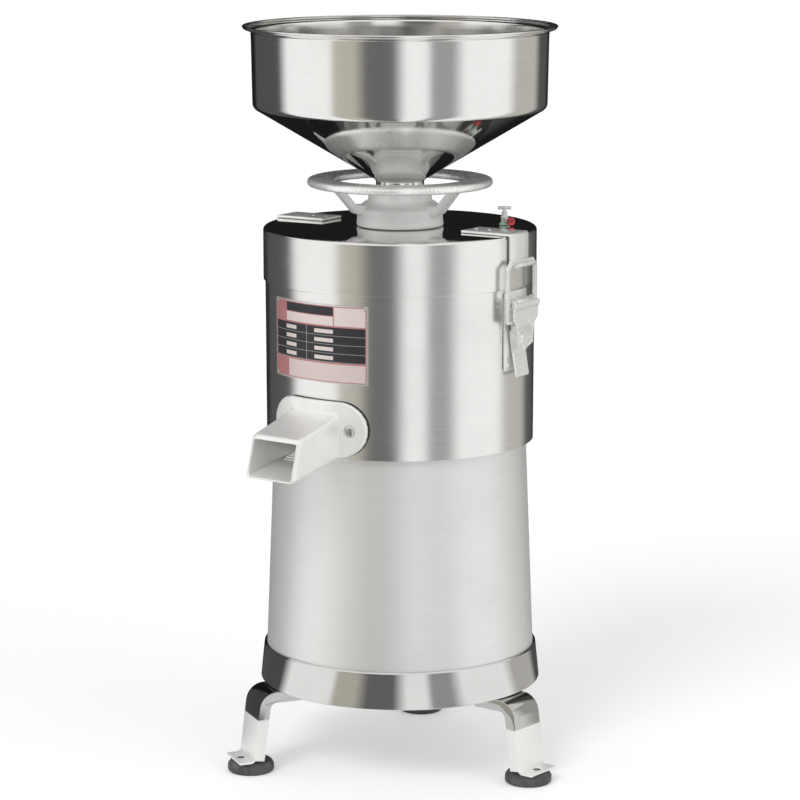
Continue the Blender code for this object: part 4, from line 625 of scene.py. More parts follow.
def stacked_laminations(name, colour):
    """Motor core of thin stacked sheets."""
    finish = Finish(name)
    z = finish.split(finish.place)[2]
    sheets = (z * 6000.0).math("SINE") * 0.5 + 0.5
    rust = finish.ease(finish.noise(finish.place, 40.0, 4.0), 0.55, 0.8)
    body = finish.mix(sheets, tint(colour, 0.6), tint(colour, 1.15))
    finish.set(colour=finish.mix(rust * 0.5, body, (0.22, 0.12, 0.07)), roughness=0.5 + rust * 0.25,
               metallic=0.9, normal=finish.bump(sheets, 0.08 * MM))
    return finish.material


def printed_plate(name, silver, pink, foil, black):
    """Rating plate with plain colour bands and empty ruled fields, on its UV map."""
    finish = Finish(name)
    u, v = finish.split(finish.uv)[:2]

    def band(value, low, high):
        return (value > low) * (value < high)

    # Shares of the plate's width and height, from its lower left corner
    block_low = 0.27
    block_high = 0.715
    row_count = 4.0
    head_left = 0.17
    head_right = 0.70
    head_low = 0.735
    head_high = 0.97
    border = 1.0 - band(u, 0.012, 0.988) * band(v, 0.018, 0.982)
    block = band(u, 0.025, 0.98) * band(v, block_low, block_high)
    top = band(u, head_left, head_right) * band(v, 0.86, head_high)
    pale = (band(u, head_left, head_right) * band(v, head_low, 0.85)
            + band(u, 0.71, 0.98) * band(v, head_low, head_high))
    rows = ((v - block_low) * (row_count / (block_high - block_low))).math("FRACT")
    row_line = band(rows, 0.0, 0.07) * block
    column_line = band(u, 0.420, 0.427) * block
    fields = (band(u, 0.165, 0.30) + band(u, 0.51, 0.70)) * band(rows, 0.28, 0.72) * block
    foot = band(u, 0.20, 0.98) * band(v, 0.03, 0.25)
    grain = finish.noise(finish.stretch(finish.place, (300, 300, 40)), 1.0, 3.0)
    fade = finish.noise(finish.place, 60.0, 4.0)
    ground = finish.mix(fade, tint(pink, 0.9), tint(pink, 1.12))
    colour = finish.mix(foot * 0.8, ground, tint(foil, 0.95))
    colour = finish.mix(pale * 0.9, colour, foil)
    colour = finish.mix(top, colour, black)
    colour = finish.mix(block, colour, black)
    colour = finish.mix(fields * 0.9, colour, foil)
    colour = finish.mix((row_line + column_line) * 0.6, colour, tint(silver, 0.6))
    colour = finish.mix(border, colour, silver)
    inked = (block + top).math("MINIMUM", 1.0) * (1.0 - (fields + column_line).math("MINIMUM", 1.0))
    rough = finish.blend(inked, 0.34, 0.5) + (grain - 0.5) * 0.1
    metal = finish.blend(border, 0.15, 0.8)
    normal = finish.bump(inked * -1.0 + grain * 0.1, 0.03 * MM)
    finish.set(colour=colour, roughness=rough, metallic=metal, normal=normal)
    return finish.material


# Sizes and colours a user would change

def length(name, description, value):
    return bpy.props.FloatProperty(name=name, description=description, default=value, min=0.0,
                                   unit="LENGTH")


def angle(name, description, degrees):
    return bpy.props.FloatProperty(name=name, description=description, default=math.radians(degrees),
                                   subtype="ANGLE")


def colour(name, description, value):
    return bpy.props.FloatVectorProperty(name=name, description=description, default=value, size=3,
                                         min=0.0, max=1.0, subtype="COLOR")


class FinishColours(bpy.types.PropertyGroup):
    """Base colours and the main roughnesses."""
    steel: colour("Steel", "Stainless steel sheet", (0.80, 0.795, 0.78))
    casing: colour("Casing", "Matt sheet of the motor casing", (0.80, 0.80, 0.79))
    aluminium: colour("Aluminium", "Cast spouts and hand wheel", (0.92, 0.92, 0.90))
    strap: colour("Straps", "Latch straps, plates and loops", (0.93, 0.93, 0.91))
    machined: colour("Machined", "Screws, pins and sleeve", (0.62, 0.62, 0.61))
    rubber: colour("Rubber", "Foot pads", (0.055, 0.056, 0.055))
    seal: colour("Seal", "Gaskets", (0.03, 0.03, 0.03))
    black: colour("Black plastic", "Switch, gland and fan", (0.03, 0.03, 0.032))
    white: colour("White plastic", "Water valve", (0.82, 0.83, 0.80))
    red: colour("Red ring", "Ring on the valve's nozzle", (0.62, 0.03, 0.05))
    valve: colour("Valve seat", "Seat and nozzle of the water valve", (0.55, 0.72, 0.62))
    stone: colour("Stone", "Grinding stones", (0.55, 0.52, 0.47))
    copper: colour("Copper", "Windings", (0.60, 0.26, 0.12))
    lamination: colour("Core", "Motor core sheets", (0.30, 0.30, 0.32))
    plate_pink: colour("Plate ground", "Ground colour of the rating plate", (0.46, 0.20, 0.20))
    plate_pale: colour("Plate pale", "Pale bands and empty fields of the rating plate", (0.78, 0.69, 0.66))
    plate_black: colour("Plate fields", "Printed fields of the rating plate", (0.025, 0.025, 0.03))
    satin: bpy.props.FloatProperty(name="Satin", description="Roughness of the satin walls",
                                   default=0.20, min=0.0, max=1.0)
    spun: bpy.props.FloatProperty(name="Spun", description="Roughness of the hopper's wall",
                                  default=0.13, min=0.0, max=1.0)
    mirror: bpy.props.FloatProperty(name="Mirror", description="Roughness of the mirror faces",
                                    default=0.07, min=0.0, max=1.0)


class HopperSizes(bpy.types.PropertyGroup):
    """Hopper: flared rim, straight wall, cone and neck."""
    rim_radius: length("Rim radius", "Outside of the flared rim", node_radius("hopper"))
    top: length("Top", "Height of the rim", node_heights("hopper")[1])
    lip: length("Lip", "Height of the flared rim", 6.6 * MM)
    hem: length("Hem", "Radius of the rolled edge", 1.3 * MM)
    wall_top: length("Wall top radius", "Inside of the wall under the rim", 156.9 * MM)
    wall_low: length("Wall low radius", "Inside of the wall at the cone", 155.7 * MM)
    bend: length("Bend height", "Where the wall meets the cone", 714 * MM)
    bend_round: length("Bend radius", "Rounding between wall and cone", 7 * MM)
    neck_radius: length("Neck radius", "Inside of the neck", 24.6 * MM)
    neck_top: length("Neck top", "Where the cone meets the neck", 636 * MM)
    sheet: length("Sheet", "Sheet thickness", 1.2 * MM)


class WheelSizes(bpy.types.PropertyGroup):
    """Hand wheel: hub, collar, rim and spokes."""
    low: length("Low edge", "Underside of the hub", node_heights("hand_wheel")[0] - 2.4 * MM)
    hub: length("Hub radius", "Outside of the hub", 45.9 * MM)
    bead: length("Bead radius", "Outside of the bead at the hub's foot", 46.6 * MM)
    bore: length("Bore", "Bore over the cover's boss", 40.3 * MM)
    shoulder: length("Shoulder height", "Top of the hub", 612.5 * MM)
    collar: length("Collar radius", "Outside of the collar round the hopper's neck", 34 * MM)
    collar_bore: length("Collar bore", "Bore of the collar", 24.9 * MM)
    collar_top: length("Collar top", "Top of the collar", 627 * MM)
    ceiling: length("Ceiling", "Top of the hub's bore", 607 * MM)
    rim_outer: length("Rim outside", "Outer radius of the rim", node_radius("hand_wheel"))
    rim_inner: length("Rim inside", "Inner radius of the rim", 70 * MM)
    rim_top: length("Rim top", "Top of the rim", node_heights("hand_wheel")[1] + 2.5 * MM)
    rim_thick: length("Rim thickness", "Height of the rim", 9 * MM)
    spoke_width: length("Spoke width", "Width of each spoke", 15 * MM)
    spoke_thick: length("Spoke thickness", "Thickness of each spoke", 7 * MM)
    spoke_angle: angle("First spoke", "Azimuth of the first spoke from the front", -66.5)


class ShellSizes(bpy.types.PropertyGroup):
    """Cover, chamber, casing and base ring."""
    cover_radius: length("Cover radius", "Outside of the cover", node_radius("cover_skin"))
    cover_low: length("Cover seam", "Low edge of the cover", node_heights("cover_skin")[0])
    cover_top: length("Cover top", "Top of the cover", node_heights("cover_skin")[1])
    cover_edge: length("Cover edge", "Rounding of the cover's edge", 3.5 * MM)
    boss: length("Boss radius", "Outside of the threaded boss", 40 * MM)
    chamber_top: length("Chamber top radius", "Outside of the chamber at its top", 144.5 * MM)
    chamber_low: length("Chamber foot radius", "Outside of the chamber at its foot", 143.9 * MM)
    casing_top: length("Casing top radius", "Outside of the casing at its top", 136.3 * MM)
    sheet: length("Sheet", "Sheet of the cover and the chamber", 1.2 * MM)
    casing_sheet: length("Casing sheet", "Sheet of the casing", 1.5 * MM)
    switch_angle: angle("Switch azimuth", "Place of the switch's hole from the front", 150)
    hole_width: length("Switch hole width", "Width of the hole for the switch", 24.6 * MM)
    hole_low: length("Switch hole low edge", "Low edge of the hole for the switch", 220.2 * MM)
    hole_top: length("Switch hole top edge", "Top edge of the hole for the switch", 251.8 * MM)
    ring_top: length("Ring top radius", "Outside of the base ring at its top", 147.6 * MM)
    seam: length("Seam rounding", "Rounding of sheet edges", 0.5 * MM)


class SpoutSizes(bpy.types.PropertyGroup):
    """Cast spouts with a two-lobed flange."""
    width: length("Width", "Outside width of the duct", 63 * MM)
    wall: length("Wall", "Wall of the duct", 3.4 * MM)
    root: length("Root radius", "Where the duct starts", 139 * MM)
    mouth_top: length("Mouth top radius", "Reach of the mouth's top edge", 213.5 * MM)
    mouth_low: length("Mouth low radius", "Reach of the mouth's low edge", 226 * MM)
    residue_short: length("Residue mouth back", "How much less the residue spout's mouth reaches", 2.2 * MM)
    root_height: length("Root height", "Height of the duct at its root", 48 * MM)
    mouth_height: length("Mouth height", "Height of the duct at its mouth", 45 * MM)
    drop: length("Drop", "Fall of the duct's top", 20 * MM)
    flange_half: length("Flange half length", "Middle of the flange to its end", 60 * MM)
    flange_lobe: length("Flange lobe", "Radius of the flange's ends", 29.5 * MM)
    flange_in: length("Flange inside", "Inner radius of the flange", 146.3 * MM)
    flange_out: length("Flange outside", "Outer radius of the flange", 151.3 * MM)
    flange_rise: length("Flange rise", "Middle of the flange over the duct's middle", 5 * MM)
    screw_place: length("Screw place", "Screw to the middle of the flange", 44 * MM)
    screw_head: length("Screw head", "Radius of a screw's head", 6.4 * MM)
    screw_height: length("Screw head height", "Height of a screw's head", 3.4 * MM)
    grain: length("Casting grain", "Size of the casting's facets", 1.1 * MM)


class StandSizes(bpy.types.PropertyGroup):
    """Three bent legs on rubber pads."""
    width: length("Width", "Width of a leg", 45 * MM)
    depth: length("Depth", "Depth of the channel", 12 * MM)
    wall: length("Wall", "Sheet of the leg", 2.2 * MM)
    inner: length("Inner end", "Radius of the leg's inner end", 119.2 * MM)
    shoulder: length("Shoulder", "Radius of the shoulder", 169.2 * MM)
    bend: length("Bend", "Radius of the shoulder's bend", 20 * MM)
    top: length("Top", "Height of the leg's top", 90.8 * MM)
    foot: length("Foot", "Radius of the leg's foot", 178.5 * MM)
    pad_place: length("Pad place", "Radius of a pad's middle", 174.2 * MM)
    tab_end: length("Tab end", "Radius of the tab's end", 194.2 * MM)
    tab_top: length("Tab top", "Height of the tab", 15.7 * MM)
    hole: length("Hole", "Radius of the hole in the tab", 4.3 * MM)
    hole_place: length("Hole place", "Radius at which the hole stands", 185.7 * MM)
    first: angle("First leg", "Azimuth of the first leg from the front", -68)
    pad: length("Pad radius", "Outside of a foot pad", 25 * MM)
    pad_height: length("Pad height", "Height of a foot pad", 13.2 * MM)


class LatchSizes(bpy.types.PropertyGroup):
    """Draw latch levers."""
    pivot_radius: length("Pivot radius", "Radius at which the lever's pivot stands", 151.8 * MM)
    pivot_height: length("Pivot height", "Height of the lever's pivot", 515 * MM)
    knuckle_height: length("Loop pivot", "Height of the loop's pivot in the lever", 497 * MM)
    knuckle: length("Knuckle", "Radius round each pivot", 4.6 * MM)
    hood_radius: length("Hood radius", "Outside of the hood round the pivot", 8.5 * MM)
    hood_width: length("Hood width", "Width of the hood", 49 * MM)
    lever_width: length("Lever width", "Width of the grip", 37 * MM)
    tab_width: length("Tab width", "Width of the finger tab", 27 * MM)
    web_radius: length("Web radius", "Radius of the grip's recessed face", 149.8 * MM)
    tab_top: length("Tab top", "Height at which the finger tab starts", 465 * MM)
    tip_radius: length("Tip radius", "Radius of the tab's end", 154.5 * MM)
    tip_height: length("Tip height", "Height of the tab's end", 437 * MM)
    sheet: length("Sheet", "Sheet of the lever", 2 * MM)
    cheek: length("Flange", "Sheet of the flanges", 2.4 * MM)
    grain: length("Pressing grain", "Size of the lever's facets", 0.55 * MM)
    ear: length("Ear", "Radius of the plate's ears round the pin", 6 * MM)
    barrel: length("Barrel", "Radius of the barrel round the pin", 6.1 * MM)
    barrel_length: length("Barrel length", "Length of the barrel between the lever's flanges", 31 * MM)
    plate_width: length("Plate width", "Width of the latch plate", 44 * MM)
    plate_low: length("Plate low edge", "Low edge of the latch plate", node_heights("latch_plate_right")[0])
    plate_top: length("Plate top edge", "Top edge of the latch plate", node_heights("latch_plate_right")[1])
    plate_in: length("Plate inside", "Inner radius of the latch plate", 144.8 * MM)
    plate_sheet: length("Plate sheet", "Sheet of the latch plate", 1.8 * MM)


class TrimSizes(bpy.types.PropertyGroup):
    """Data plate, rivets and edge rounding of the small parts."""
    plate_angle: angle("Plate azimuth", "Middle of the rating plate from the front", -38.4)
    plate_width: length("Plate width", "Width of the rating plate", 124 * MM)
    plate_low: length("Plate low edge", "Low edge of the rating plate",
                      node_heights("data_plate")[0] - 1 * MM)
    plate_top: length("Plate top edge", "Top edge of the rating plate",
                      node_heights("data_plate")[1] + 3.5 * MM)
    plate_in: length("Plate inside", "Inner radius of the rating plate", 144.8 * MM)
    plate_out: length("Plate outside", "Outer radius of the rating plate", 145.4 * MM)
    rivet: length("Rivet", "Radius of a rivet's head", 1.6 * MM)
    rivet_height: length("Rivet height", "Height of a rivet's head", 0.9 * MM)
    edge: length("Edge", "Rounding of pressed parts", 0.6 * MM)
    valve_angle: angle("Valve azimuth", "Place of the water valve from the front", 91.5)
    valve_reach: length("Valve reach", "Radius at which the water valve stands", 112 * MM)
    nozzle_turn: angle("Nozzle turn", "Direction of the water valve's nozzle from the front", 30)
    bar: length("Tap bar radius", "Radius of the bar on the water valve", 1.9 * MM)
    bar_length: length("Tap bar", "Length of the bar on the water valve", 14 * MM)


class StageSettings(bpy.types.PropertyGroup):
    """Camera, lamps and floor."""
    lens: bpy.props.FloatProperty(name="Lens", description="Focal length on a 36 mm sensor",
                                  default=143.67, min=10.0)
    distance: length("Distance", "Camera to the machine axis, along the floor", 3.396)
    height: length("Height", "Camera above the floor", 1.0264)
    pitch: angle("Pitch", "How far the camera looks down", 10.52)
    ambient: bpy.props.FloatProperty(name="Ambient", description="Level of the studio on plain surfaces",
                                     default=0.62, min=0.0)
    sun: bpy.props.FloatProperty(name="Key", description="Strength of the soft key lamp",
                                 default=1.0, min=0.0)
    floor_half: length("Floor", "Half width of the floor", 40.0)
    card_near: length("Cards' near edge", "Radius at which the cards start on the floor", 0.21)
    card_far: length("Cards' wall", "Radius of the cards' upright wall", 3.2)
    card_height: length("Cards' height", "Height of the cards' wall", 2.0)
    back_height: length("Back card's height", "Height of the dark card behind the object", 5.0)


# Repeated pieces

def new_tree(name, inputs):
    tree = bpy.data.node_groups.new(name, "GeometryNodeTree")
    tree.interface.new_socket("Geometry", in_out="INPUT", socket_type="NodeSocketGeometry")
    for label, kind, value in inputs:
        socket = tree.interface.new_socket(label, in_out="INPUT", socket_type=kind)
        if value is not None:
            socket.default_value = value
    tree.interface.new_socket("Geometry", in_out="OUTPUT", socket_type="NodeSocketGeometry")
    book = NodeBook(tree)
    return tree, book, book.node("NodeGroupInput"), book.node("NodeGroupOutput")


def ring_of_copies_tree():
    """Copies of the piece's own mesh, spaced evenly round a centre."""
    tree, book, given, result = new_tree("ring_of_copies", (
        ("Count", "NodeSocketInt", 3), ("First Angle", "NodeSocketFloat", 0.0),
        ("Centre", "NodeSocketVector", (0, 0, 0)), ("Finish", "NodeSocketMaterial", None)))
    line = book.node("GeometryNodeMeshLine", {}, {"Count": given.outputs["Count"], "Offset": (0, 0, 0)})
    index = Term(book, book.node("GeometryNodeInputIndex").outputs[0])
    count = Term(book, given.outputs["Count"])
    turn = index * math.tau / count + Term(book, given.outputs["First Angle"])
    euler = book.node("ShaderNodeCombineXYZ", {}, {2: turn})
    rotation = book.node("FunctionNodeEulerToRotation", {}, {0: euler.outputs[0]})
    copies = book.node("GeometryNodeInstanceOnPoints", {}, {
        "Points": line.outputs["Mesh"], "Instance": given.outputs["Geometry"],
        "Rotation": rotation.outputs[0]})
    placed = book.node("GeometryNodeTransform", {}, {
        "Geometry": copies.outputs["Instances"], "Translation": given.outputs["Centre"]})
    real = book.node("GeometryNodeRealizeInstances", {}, {"Geometry": placed.outputs[0]})
    finished = book.node("GeometryNodeSetMaterial", {}, {
        "Geometry": real.outputs[0], "Material": given.outputs["Finish"]})
    book.feed(result.inputs[0], finished.outputs[0])
    return tree


def studs_tree():
    """A domed head on each vertex of the piece's mesh, standing along its outward attribute."""
    tree, book, given, result = new_tree("studs", (
        ("Head Radius", "NodeSocketFloat", 1.6 * MM), ("Head Height", "NodeSocketFloat", 0.9 * MM),
        ("Socket Radius", "NodeSocketFloat", 0.0), ("Finish", "NodeSocketMaterial", None)))
    radius = Term(book, given.outputs["Head Radius"])
    height = Term(book, given.outputs["Head Height"])
    socket = Term(book, given.outputs["Socket Radius"])
    ball = book.node("GeometryNodeMeshUVSphere", {}, {"Segments": 28, "Rings": 16, "Radius": radius})
    scale = book.node("ShaderNodeCombineXYZ", {}, {0: 1.0, 1: 1.0, 2: height / radius})
    dome = book.node("GeometryNodeTransform", {}, {"Geometry": ball.outputs["Mesh"],
                                                    "Scale": scale.outputs[0]})
    key = book.node("GeometryNodeMeshCylinder", {}, {"Vertices": 6, "Radius": socket, "Depth": height})
    lift = book.node("ShaderNodeCombineXYZ", {}, {2: height})
    raised = book.node("GeometryNodeTransform", {}, {"Geometry": key.outputs["Mesh"],
                                                      "Translation": lift.outputs[0]})
    bored = book.node("GeometryNodeMeshBoolean", {"operation": "DIFFERENCE"},
                      {"Mesh 1": dome.outputs[0], "Mesh 2": raised.outputs[0]})
    choice = book.node("GeometryNodeSwitch", {"input_type": "GEOMETRY"}, {
        "Switch": socket > 0.0, "False": dome.outputs[0], "True": bored.outputs[0]})
    outward = book.node("GeometryNodeInputNamedAttribute", {"data_type": "FLOAT_VECTOR"},
                        {"Name": "outward"})
    facing = book.node("FunctionNodeAlignRotationToVector", {"axis": "Z"},
                       {"Vector": outward.outputs[0]})
    heads = book.node("GeometryNodeInstanceOnPoints", {}, {
        "Points": given.outputs["Geometry"], "Instance": choice.outputs[0],
        "Rotation": facing.outputs[0]})
    real = book.node("GeometryNodeRealizeInstances", {}, {"Geometry": heads.outputs[0]})
    smooth = book.node("GeometryNodeSetShadeSmooth", {}, {"Geometry": real.outputs[0]})
    finished = book.node("GeometryNodeSetMaterial", {}, {
        "Geometry": smooth.outputs[0], "Material": given.outputs["Finish"]})
    book.feed(result.inputs[0], finished.outputs[0])
    return tree


def grow(piece, tree, values):
    """Run a node tree on a piece with named inputs, and keep the result as plain mesh."""
    step = piece.modifiers.new(tree.name, "NODES")
    step.node_group = tree
    identifiers = {item.name: item.identifier for item in tree.interface.items_tree
                   if item.in_out == "INPUT"}
    for name, value in values.items():
        step[identifiers[name]] = value
    return settle(piece)


def ringed(name, mesh, count, first, material):
    """A mesh drawn round (0, 0), copied evenly round the machine axis."""
    piece = link(name, mesh, material)
    return grow(piece, TREES["ring"], {"Count": count, "First Angle": first, "Centre": AXIS,
                                       "Finish": material})


def studs(name, spots, radius, height, material, socket=0.0):
    """Domed heads at spots given as (place, outward) pairs."""
    mesh = bpy.data.meshes.new(name)
    mesh.from_pydata([place for place, direction in spots], [], [])
    outward = mesh.attributes.new("outward", "FLOAT_VECTOR", "POINT")
    for item, (place, direction) in zip(outward.data, spots):
        item.vector = direction
    piece = link(name, mesh, material)
    grow(piece, TREES["studs"], {"Head Radius": radius, "Head Height": height,
                                 "Socket Radius": socket, "Finish": material})
    piece.data.set_sharp_from_angle(angle=math.radians(40))
    return piece


def wall_spot(azimuth, radius, height):
    """Place and outward direction on an upright round wall."""
    turn = math.radians(azimuth)
    outward = Vector((math.sin(turn), -math.cos(turn), 0))
    return AXIS + outward * radius + Vector((0, 0, height)), outward


TREES = {}
FINISHES = {}


# Pieces

def build_hopper(sizes):
    """Spun sheet, drawn along its inside face and thickened outwards, with a rolled hem."""
    lip_z = sizes.top - sizes.lip
    hem = sizes.hem
    edge_r = sizes.rim_radius - hem
    edge_z = sizes.top - hem
    inside = fillet_path([
        (edge_r - hem * 0.5, edge_z - hem * 0.9), (sizes.wall_top + 0.4 * MM, lip_z + 1.0 * MM, 2.2 * MM),
        (sizes.wall_top, lip_z - 8 * MM), (sizes.wall_low, sizes.bend, sizes.bend_round),
        (sizes.neck_radius, sizes.neck_top, 5 * MM), (sizes.neck_radius, node_heights("hopper")[0])],
        closed=False, steps=10)
    outside = offset_path(inside, -sizes.sheet)[::-1]
    curl = arc_points((edge_r, edge_z), hem, 140, -110, 14)
    mesh = revolved("hopper_shell", [*outside, *curl, *inside])
    mesh.transform(Matrix.Translation(AXIS))
    piece = shade(link("hopper_shell", mesh, FINISHES["hopper"]), 50)
    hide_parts("hopper")
    mount(piece, "hopper_group")


def build_hand_wheel(sizes):
    low = sizes.low
    hub = fillet_path([
        (sizes.collar, sizes.collar_top, 1.5 * MM), (sizes.collar, sizes.shoulder + 0.3 * MM, 3 * MM),
        (sizes.collar + 3 * MM, sizes.shoulder, 3 * MM), (sizes.hub, sizes.shoulder - 6.5 * MM, 3 * MM),
        (sizes.hub, low + 6.5 * MM, 1 * MM), (sizes.bead, low + 4.5 * MM, 1.6 * MM),
        (sizes.bead, low, 0.8 * MM), (sizes.bore, low), (sizes.bore, sizes.ceiling),
        (sizes.collar_bore, sizes.ceiling), (sizes.collar_bore, sizes.collar_top, 1 * MM)])
    rim_low = sizes.rim_top - sizes.rim_thick
    edge = sizes.rim_thick * 0.48
    rim = fillet_path([
        (sizes.rim_outer, sizes.rim_top - 0.6 * MM, edge), (sizes.rim_outer, rim_low, edge),
        (sizes.rim_inner, rim_low, edge), (sizes.rim_inner, sizes.rim_top, edge)])
    wheel = link("hand_wheel_casting", revolved("hub", hub))
    combine(wheel, revolved("rim", rim), "UNION")
    rim_z = rim_low + sizes.rim_thick / 2
    root_z = sizes.shoulder - 8 * MM
    root_r = sizes.bore + 2 * MM
    tip = sizes.rim_inner + 3 * MM
    upper = [(tip, rim_z + 1 * MM), (sizes.hub + 7 * MM, root_z + 7 * MM), (root_r, root_z + 6 * MM)]
    lower = [(root_r, root_z - 6 * MM), (sizes.hub + 8 * MM, root_z - 3 * MM),
             (tip + sizes.spoke_thick, rim_z - 2 * MM)]
    spokes = ringed("wheel_spokes", extruded("spoke", upper + lower, sizes.spoke_width), 3,
                    sizes.spoke_angle, FINISHES["aluminium"])
    spokes.data.transform(Matrix.Translation(-AXIS))
    combine(wheel, take_mesh(spokes), "UNION")
    wheel.data.transform(Matrix.Translation(AXIS))
    cast(wheel, 1.2 * MM, 6)
    repaint(wheel, FINISHES["wheel"])
    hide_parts("hand_wheel")
    mount(wheel, "hand_wheel_group")


def sheet_wall(points, wall):
    """Closed profile of a sheet whose outer face follows the points, top to bottom."""
    outer = fillet_path(points, closed=False, steps=8)
    return [*outer, *offset_path(outer, wall)[::-1]]


def shell_piece(name, points, wall, material):
    mesh = revolved(name, sheet_wall(points, wall))
    mesh.transform(Matrix.Translation(AXIS))
    return shade(link(name, mesh, material), 40)


def duct_outline(sizes, kind, inset, reach):
    """Side view of a duct, inset from its outer faces and lengthened past its ends."""
    top = spout_top(kind)
    low_reach = sizes.mouth_low - (sizes.residue_short if kind == "residue" else 0)
    start_top = Vector((sizes.root, top))
    start_low = Vector((sizes.root, top - sizes.root_height))
    end_top = Vector((sizes.mouth_top, top - sizes.drop))
    end_low = Vector((low_reach, top - sizes.drop - sizes.mouth_height))
    down = Vector((0, -inset))
    back = Vector((-reach, 0))
    return [start_top + down + back, end_top + down + (end_top - start_top).normalized() * reach,
            end_low - down + (end_low - start_low).normalized() * reach, start_low - down + back]


SPOUTS = {"milk": -37.0, "residue": 180.0}


def spout_top(kind):
    return node_heights(f"{kind}_spout_gasket")[1] - 10.5 * MM


def bore_mesh(sizes, kind):
    outline = duct_outline(sizes, kind, sizes.wall, sizes.width / 3)
    mesh = extruded("bore", outline, sizes.width - 2 * sizes.wall)
    mesh.transform(station(SPOUTS[kind]))
    return mesh


def stadium(half, lobe, z):
    right = arc_points((half - lobe, z), lobe, -90, 90, 24)
    left = arc_points((lobe - half, z), lobe, 90, 270, 24)
    return right + left


def rounded_sheet(half, low, top, corner):
    """Outline of an upright sheet with rounded corners."""
    return fillet_path([(-half, low, corner), (half, low, corner), (half, top, corner),
                        (-half, top, corner)])


def curved_plate(name, outline, inner, outer, azimuth, material):
    """Plate of an (x, z) outline, bent round the machine."""
    slab = facing_slab(name, outline, inner * 0.8, outer * 1.1)
    slab.transform(station(azimuth))
    piece = link(name, slab, material)
    low = min(point[1] for point in outline) - 5 * MM
    high = max(point[1] for point in outline) + 5 * MM
    band = revolved("band", [(outer, high), (outer, low), (inner, low), (inner, high)], 2 * ROUND_STEPS)
    band.transform(Matrix.Translation(AXIS))
    return combine(piece, band, "INTERSECT")


def build_shells(sizes, spout_sizes):
    seam = sizes.seam
    edge = sizes.cover_radius
    cover = shell_piece("cover_shell", [
        (sizes.boss + 0.3 * MM, sizes.cover_top), (edge, sizes.cover_top, sizes.cover_edge),
        (edge, sizes.cover_low + 0.4 * MM, seam), (edge - 0.5 * MM, sizes.cover_low)],
        sizes.sheet, FINISHES["cover"])
    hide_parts("cover_skin")
    mount(cover, "root")
    low, high = node_heights("chamber_skin")
    chamber = shell_piece("chamber_wall", [(sizes.chamber_top, high), (sizes.chamber_low, low)],
                          sizes.sheet, FINISHES["satin"])
    for kind in SPOUTS:
        combine(chamber, bore_mesh(spout_sizes, kind), "DIFFERENCE")
    shade(chamber, 40)
    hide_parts("chamber_skin")
    mount(chamber, "root")
    low, high = node_heights("motor_casing")
    foot = node_radius("motor_casing")
    casing = shell_piece("motor_casing_wall", [
        (sizes.casing_top - 0.4 * MM, high), (sizes.casing_top, high - 0.6 * MM, seam), (foot, low)],
        sizes.casing_sheet, FINISHES["casing"])
    half = sizes.hole_width / 2
    near = sizes.casing_top - 11.3 * MM
    far = sizes.casing_top + 23.7 * MM
    hole = facing_slab("switch_hole", [(-half, sizes.hole_low), (half, sizes.hole_low),
                                       (half, sizes.hole_top), (-half, sizes.hole_top)], near, far)
    hole.transform(station(math.degrees(sizes.switch_angle)))
    combine(casing, hole, "DIFFERENCE")
    shade(casing, 40)
    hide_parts("motor_casing")
    mount(casing, "root")
    build_base_ring(sizes)


def build_base_ring(sizes):
    low, high = node_heights("base_ring")
    foot = node_radius("base_ring")
    casing_flare = 0.0393
    gap = 0.3 * MM
    wall_at_top = sizes.casing_top + (node_heights("motor_casing")[1] - high) * casing_flare + gap
    ring = turned_piece("base_ring_shell", [
        (wall_at_top, high, 0.3 * MM), (sizes.ring_top - 0.8 * MM, high, 1.0 * MM),
        (sizes.ring_top + 0.7 * MM, high - 1.6 * MM, 1.2 * MM), (foot, low + 1.0 * MM, 0.8 * MM),
        (foot - 1.4 * MM, low, 0.3 * MM), (wall_at_top, high - 1.4 * MM, 0.5 * MM)], FINISHES["ring"])
    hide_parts("base_ring")
    mount(ring, "root")


def build_spout(sizes, kind):
    azimuth = SPOUTS[kind]
    top = spout_top(kind)
    middle = top - sizes.root_height / 2 + sizes.flange_rise
    shape = stadium(sizes.flange_half, sizes.flange_lobe, middle)
    spout = curved_plate(f"{kind}_spout_casting", shape, sizes.flange_in, sizes.flange_out, azimuth,
                         FINISHES["aluminium"])
    duct = link("duct", extruded("duct", duct_outline(sizes, kind, 0, 0), sizes.width))
    soften(duct, 4 * MM, 4)
    duct.data.transform(station(azimuth))
    over = top + 60 * MM
    under = top - 120 * MM
    inside = revolved("inside", [(sizes.flange_in, over), (sizes.flange_in, under),
                                 (sizes.root / 2, under), (sizes.root / 2, over)])
    inside.transform(Matrix.Translation(AXIS))
    combine(duct, inside, "DIFFERENCE")
    combine(spout, take_mesh(duct), "UNION")
    combine(spout, bore_mesh(sizes, kind), "DIFFERENCE")
    cast(spout, sizes.grain, 5)
    repaint(spout, FINISHES["aluminium"])
    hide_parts(f"{kind}_spout")
    mount(spout, "root")
    gasket_in = sizes.flange_in - 1.5 * MM
    gasket_sheet = 1.2 * MM
    gasket = curved_plate(f"{kind}_gasket_sheet", shape, gasket_in, gasket_in + gasket_sheet, azimuth,
                          FINISHES["seal"])
    combine(gasket, bore_mesh(sizes, kind), "DIFFERENCE")
    repaint(gasket, FINISHES["seal"])
    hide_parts(f"{kind}_spout_gasket")
    mount(shade(gasket), "root")
    return middle


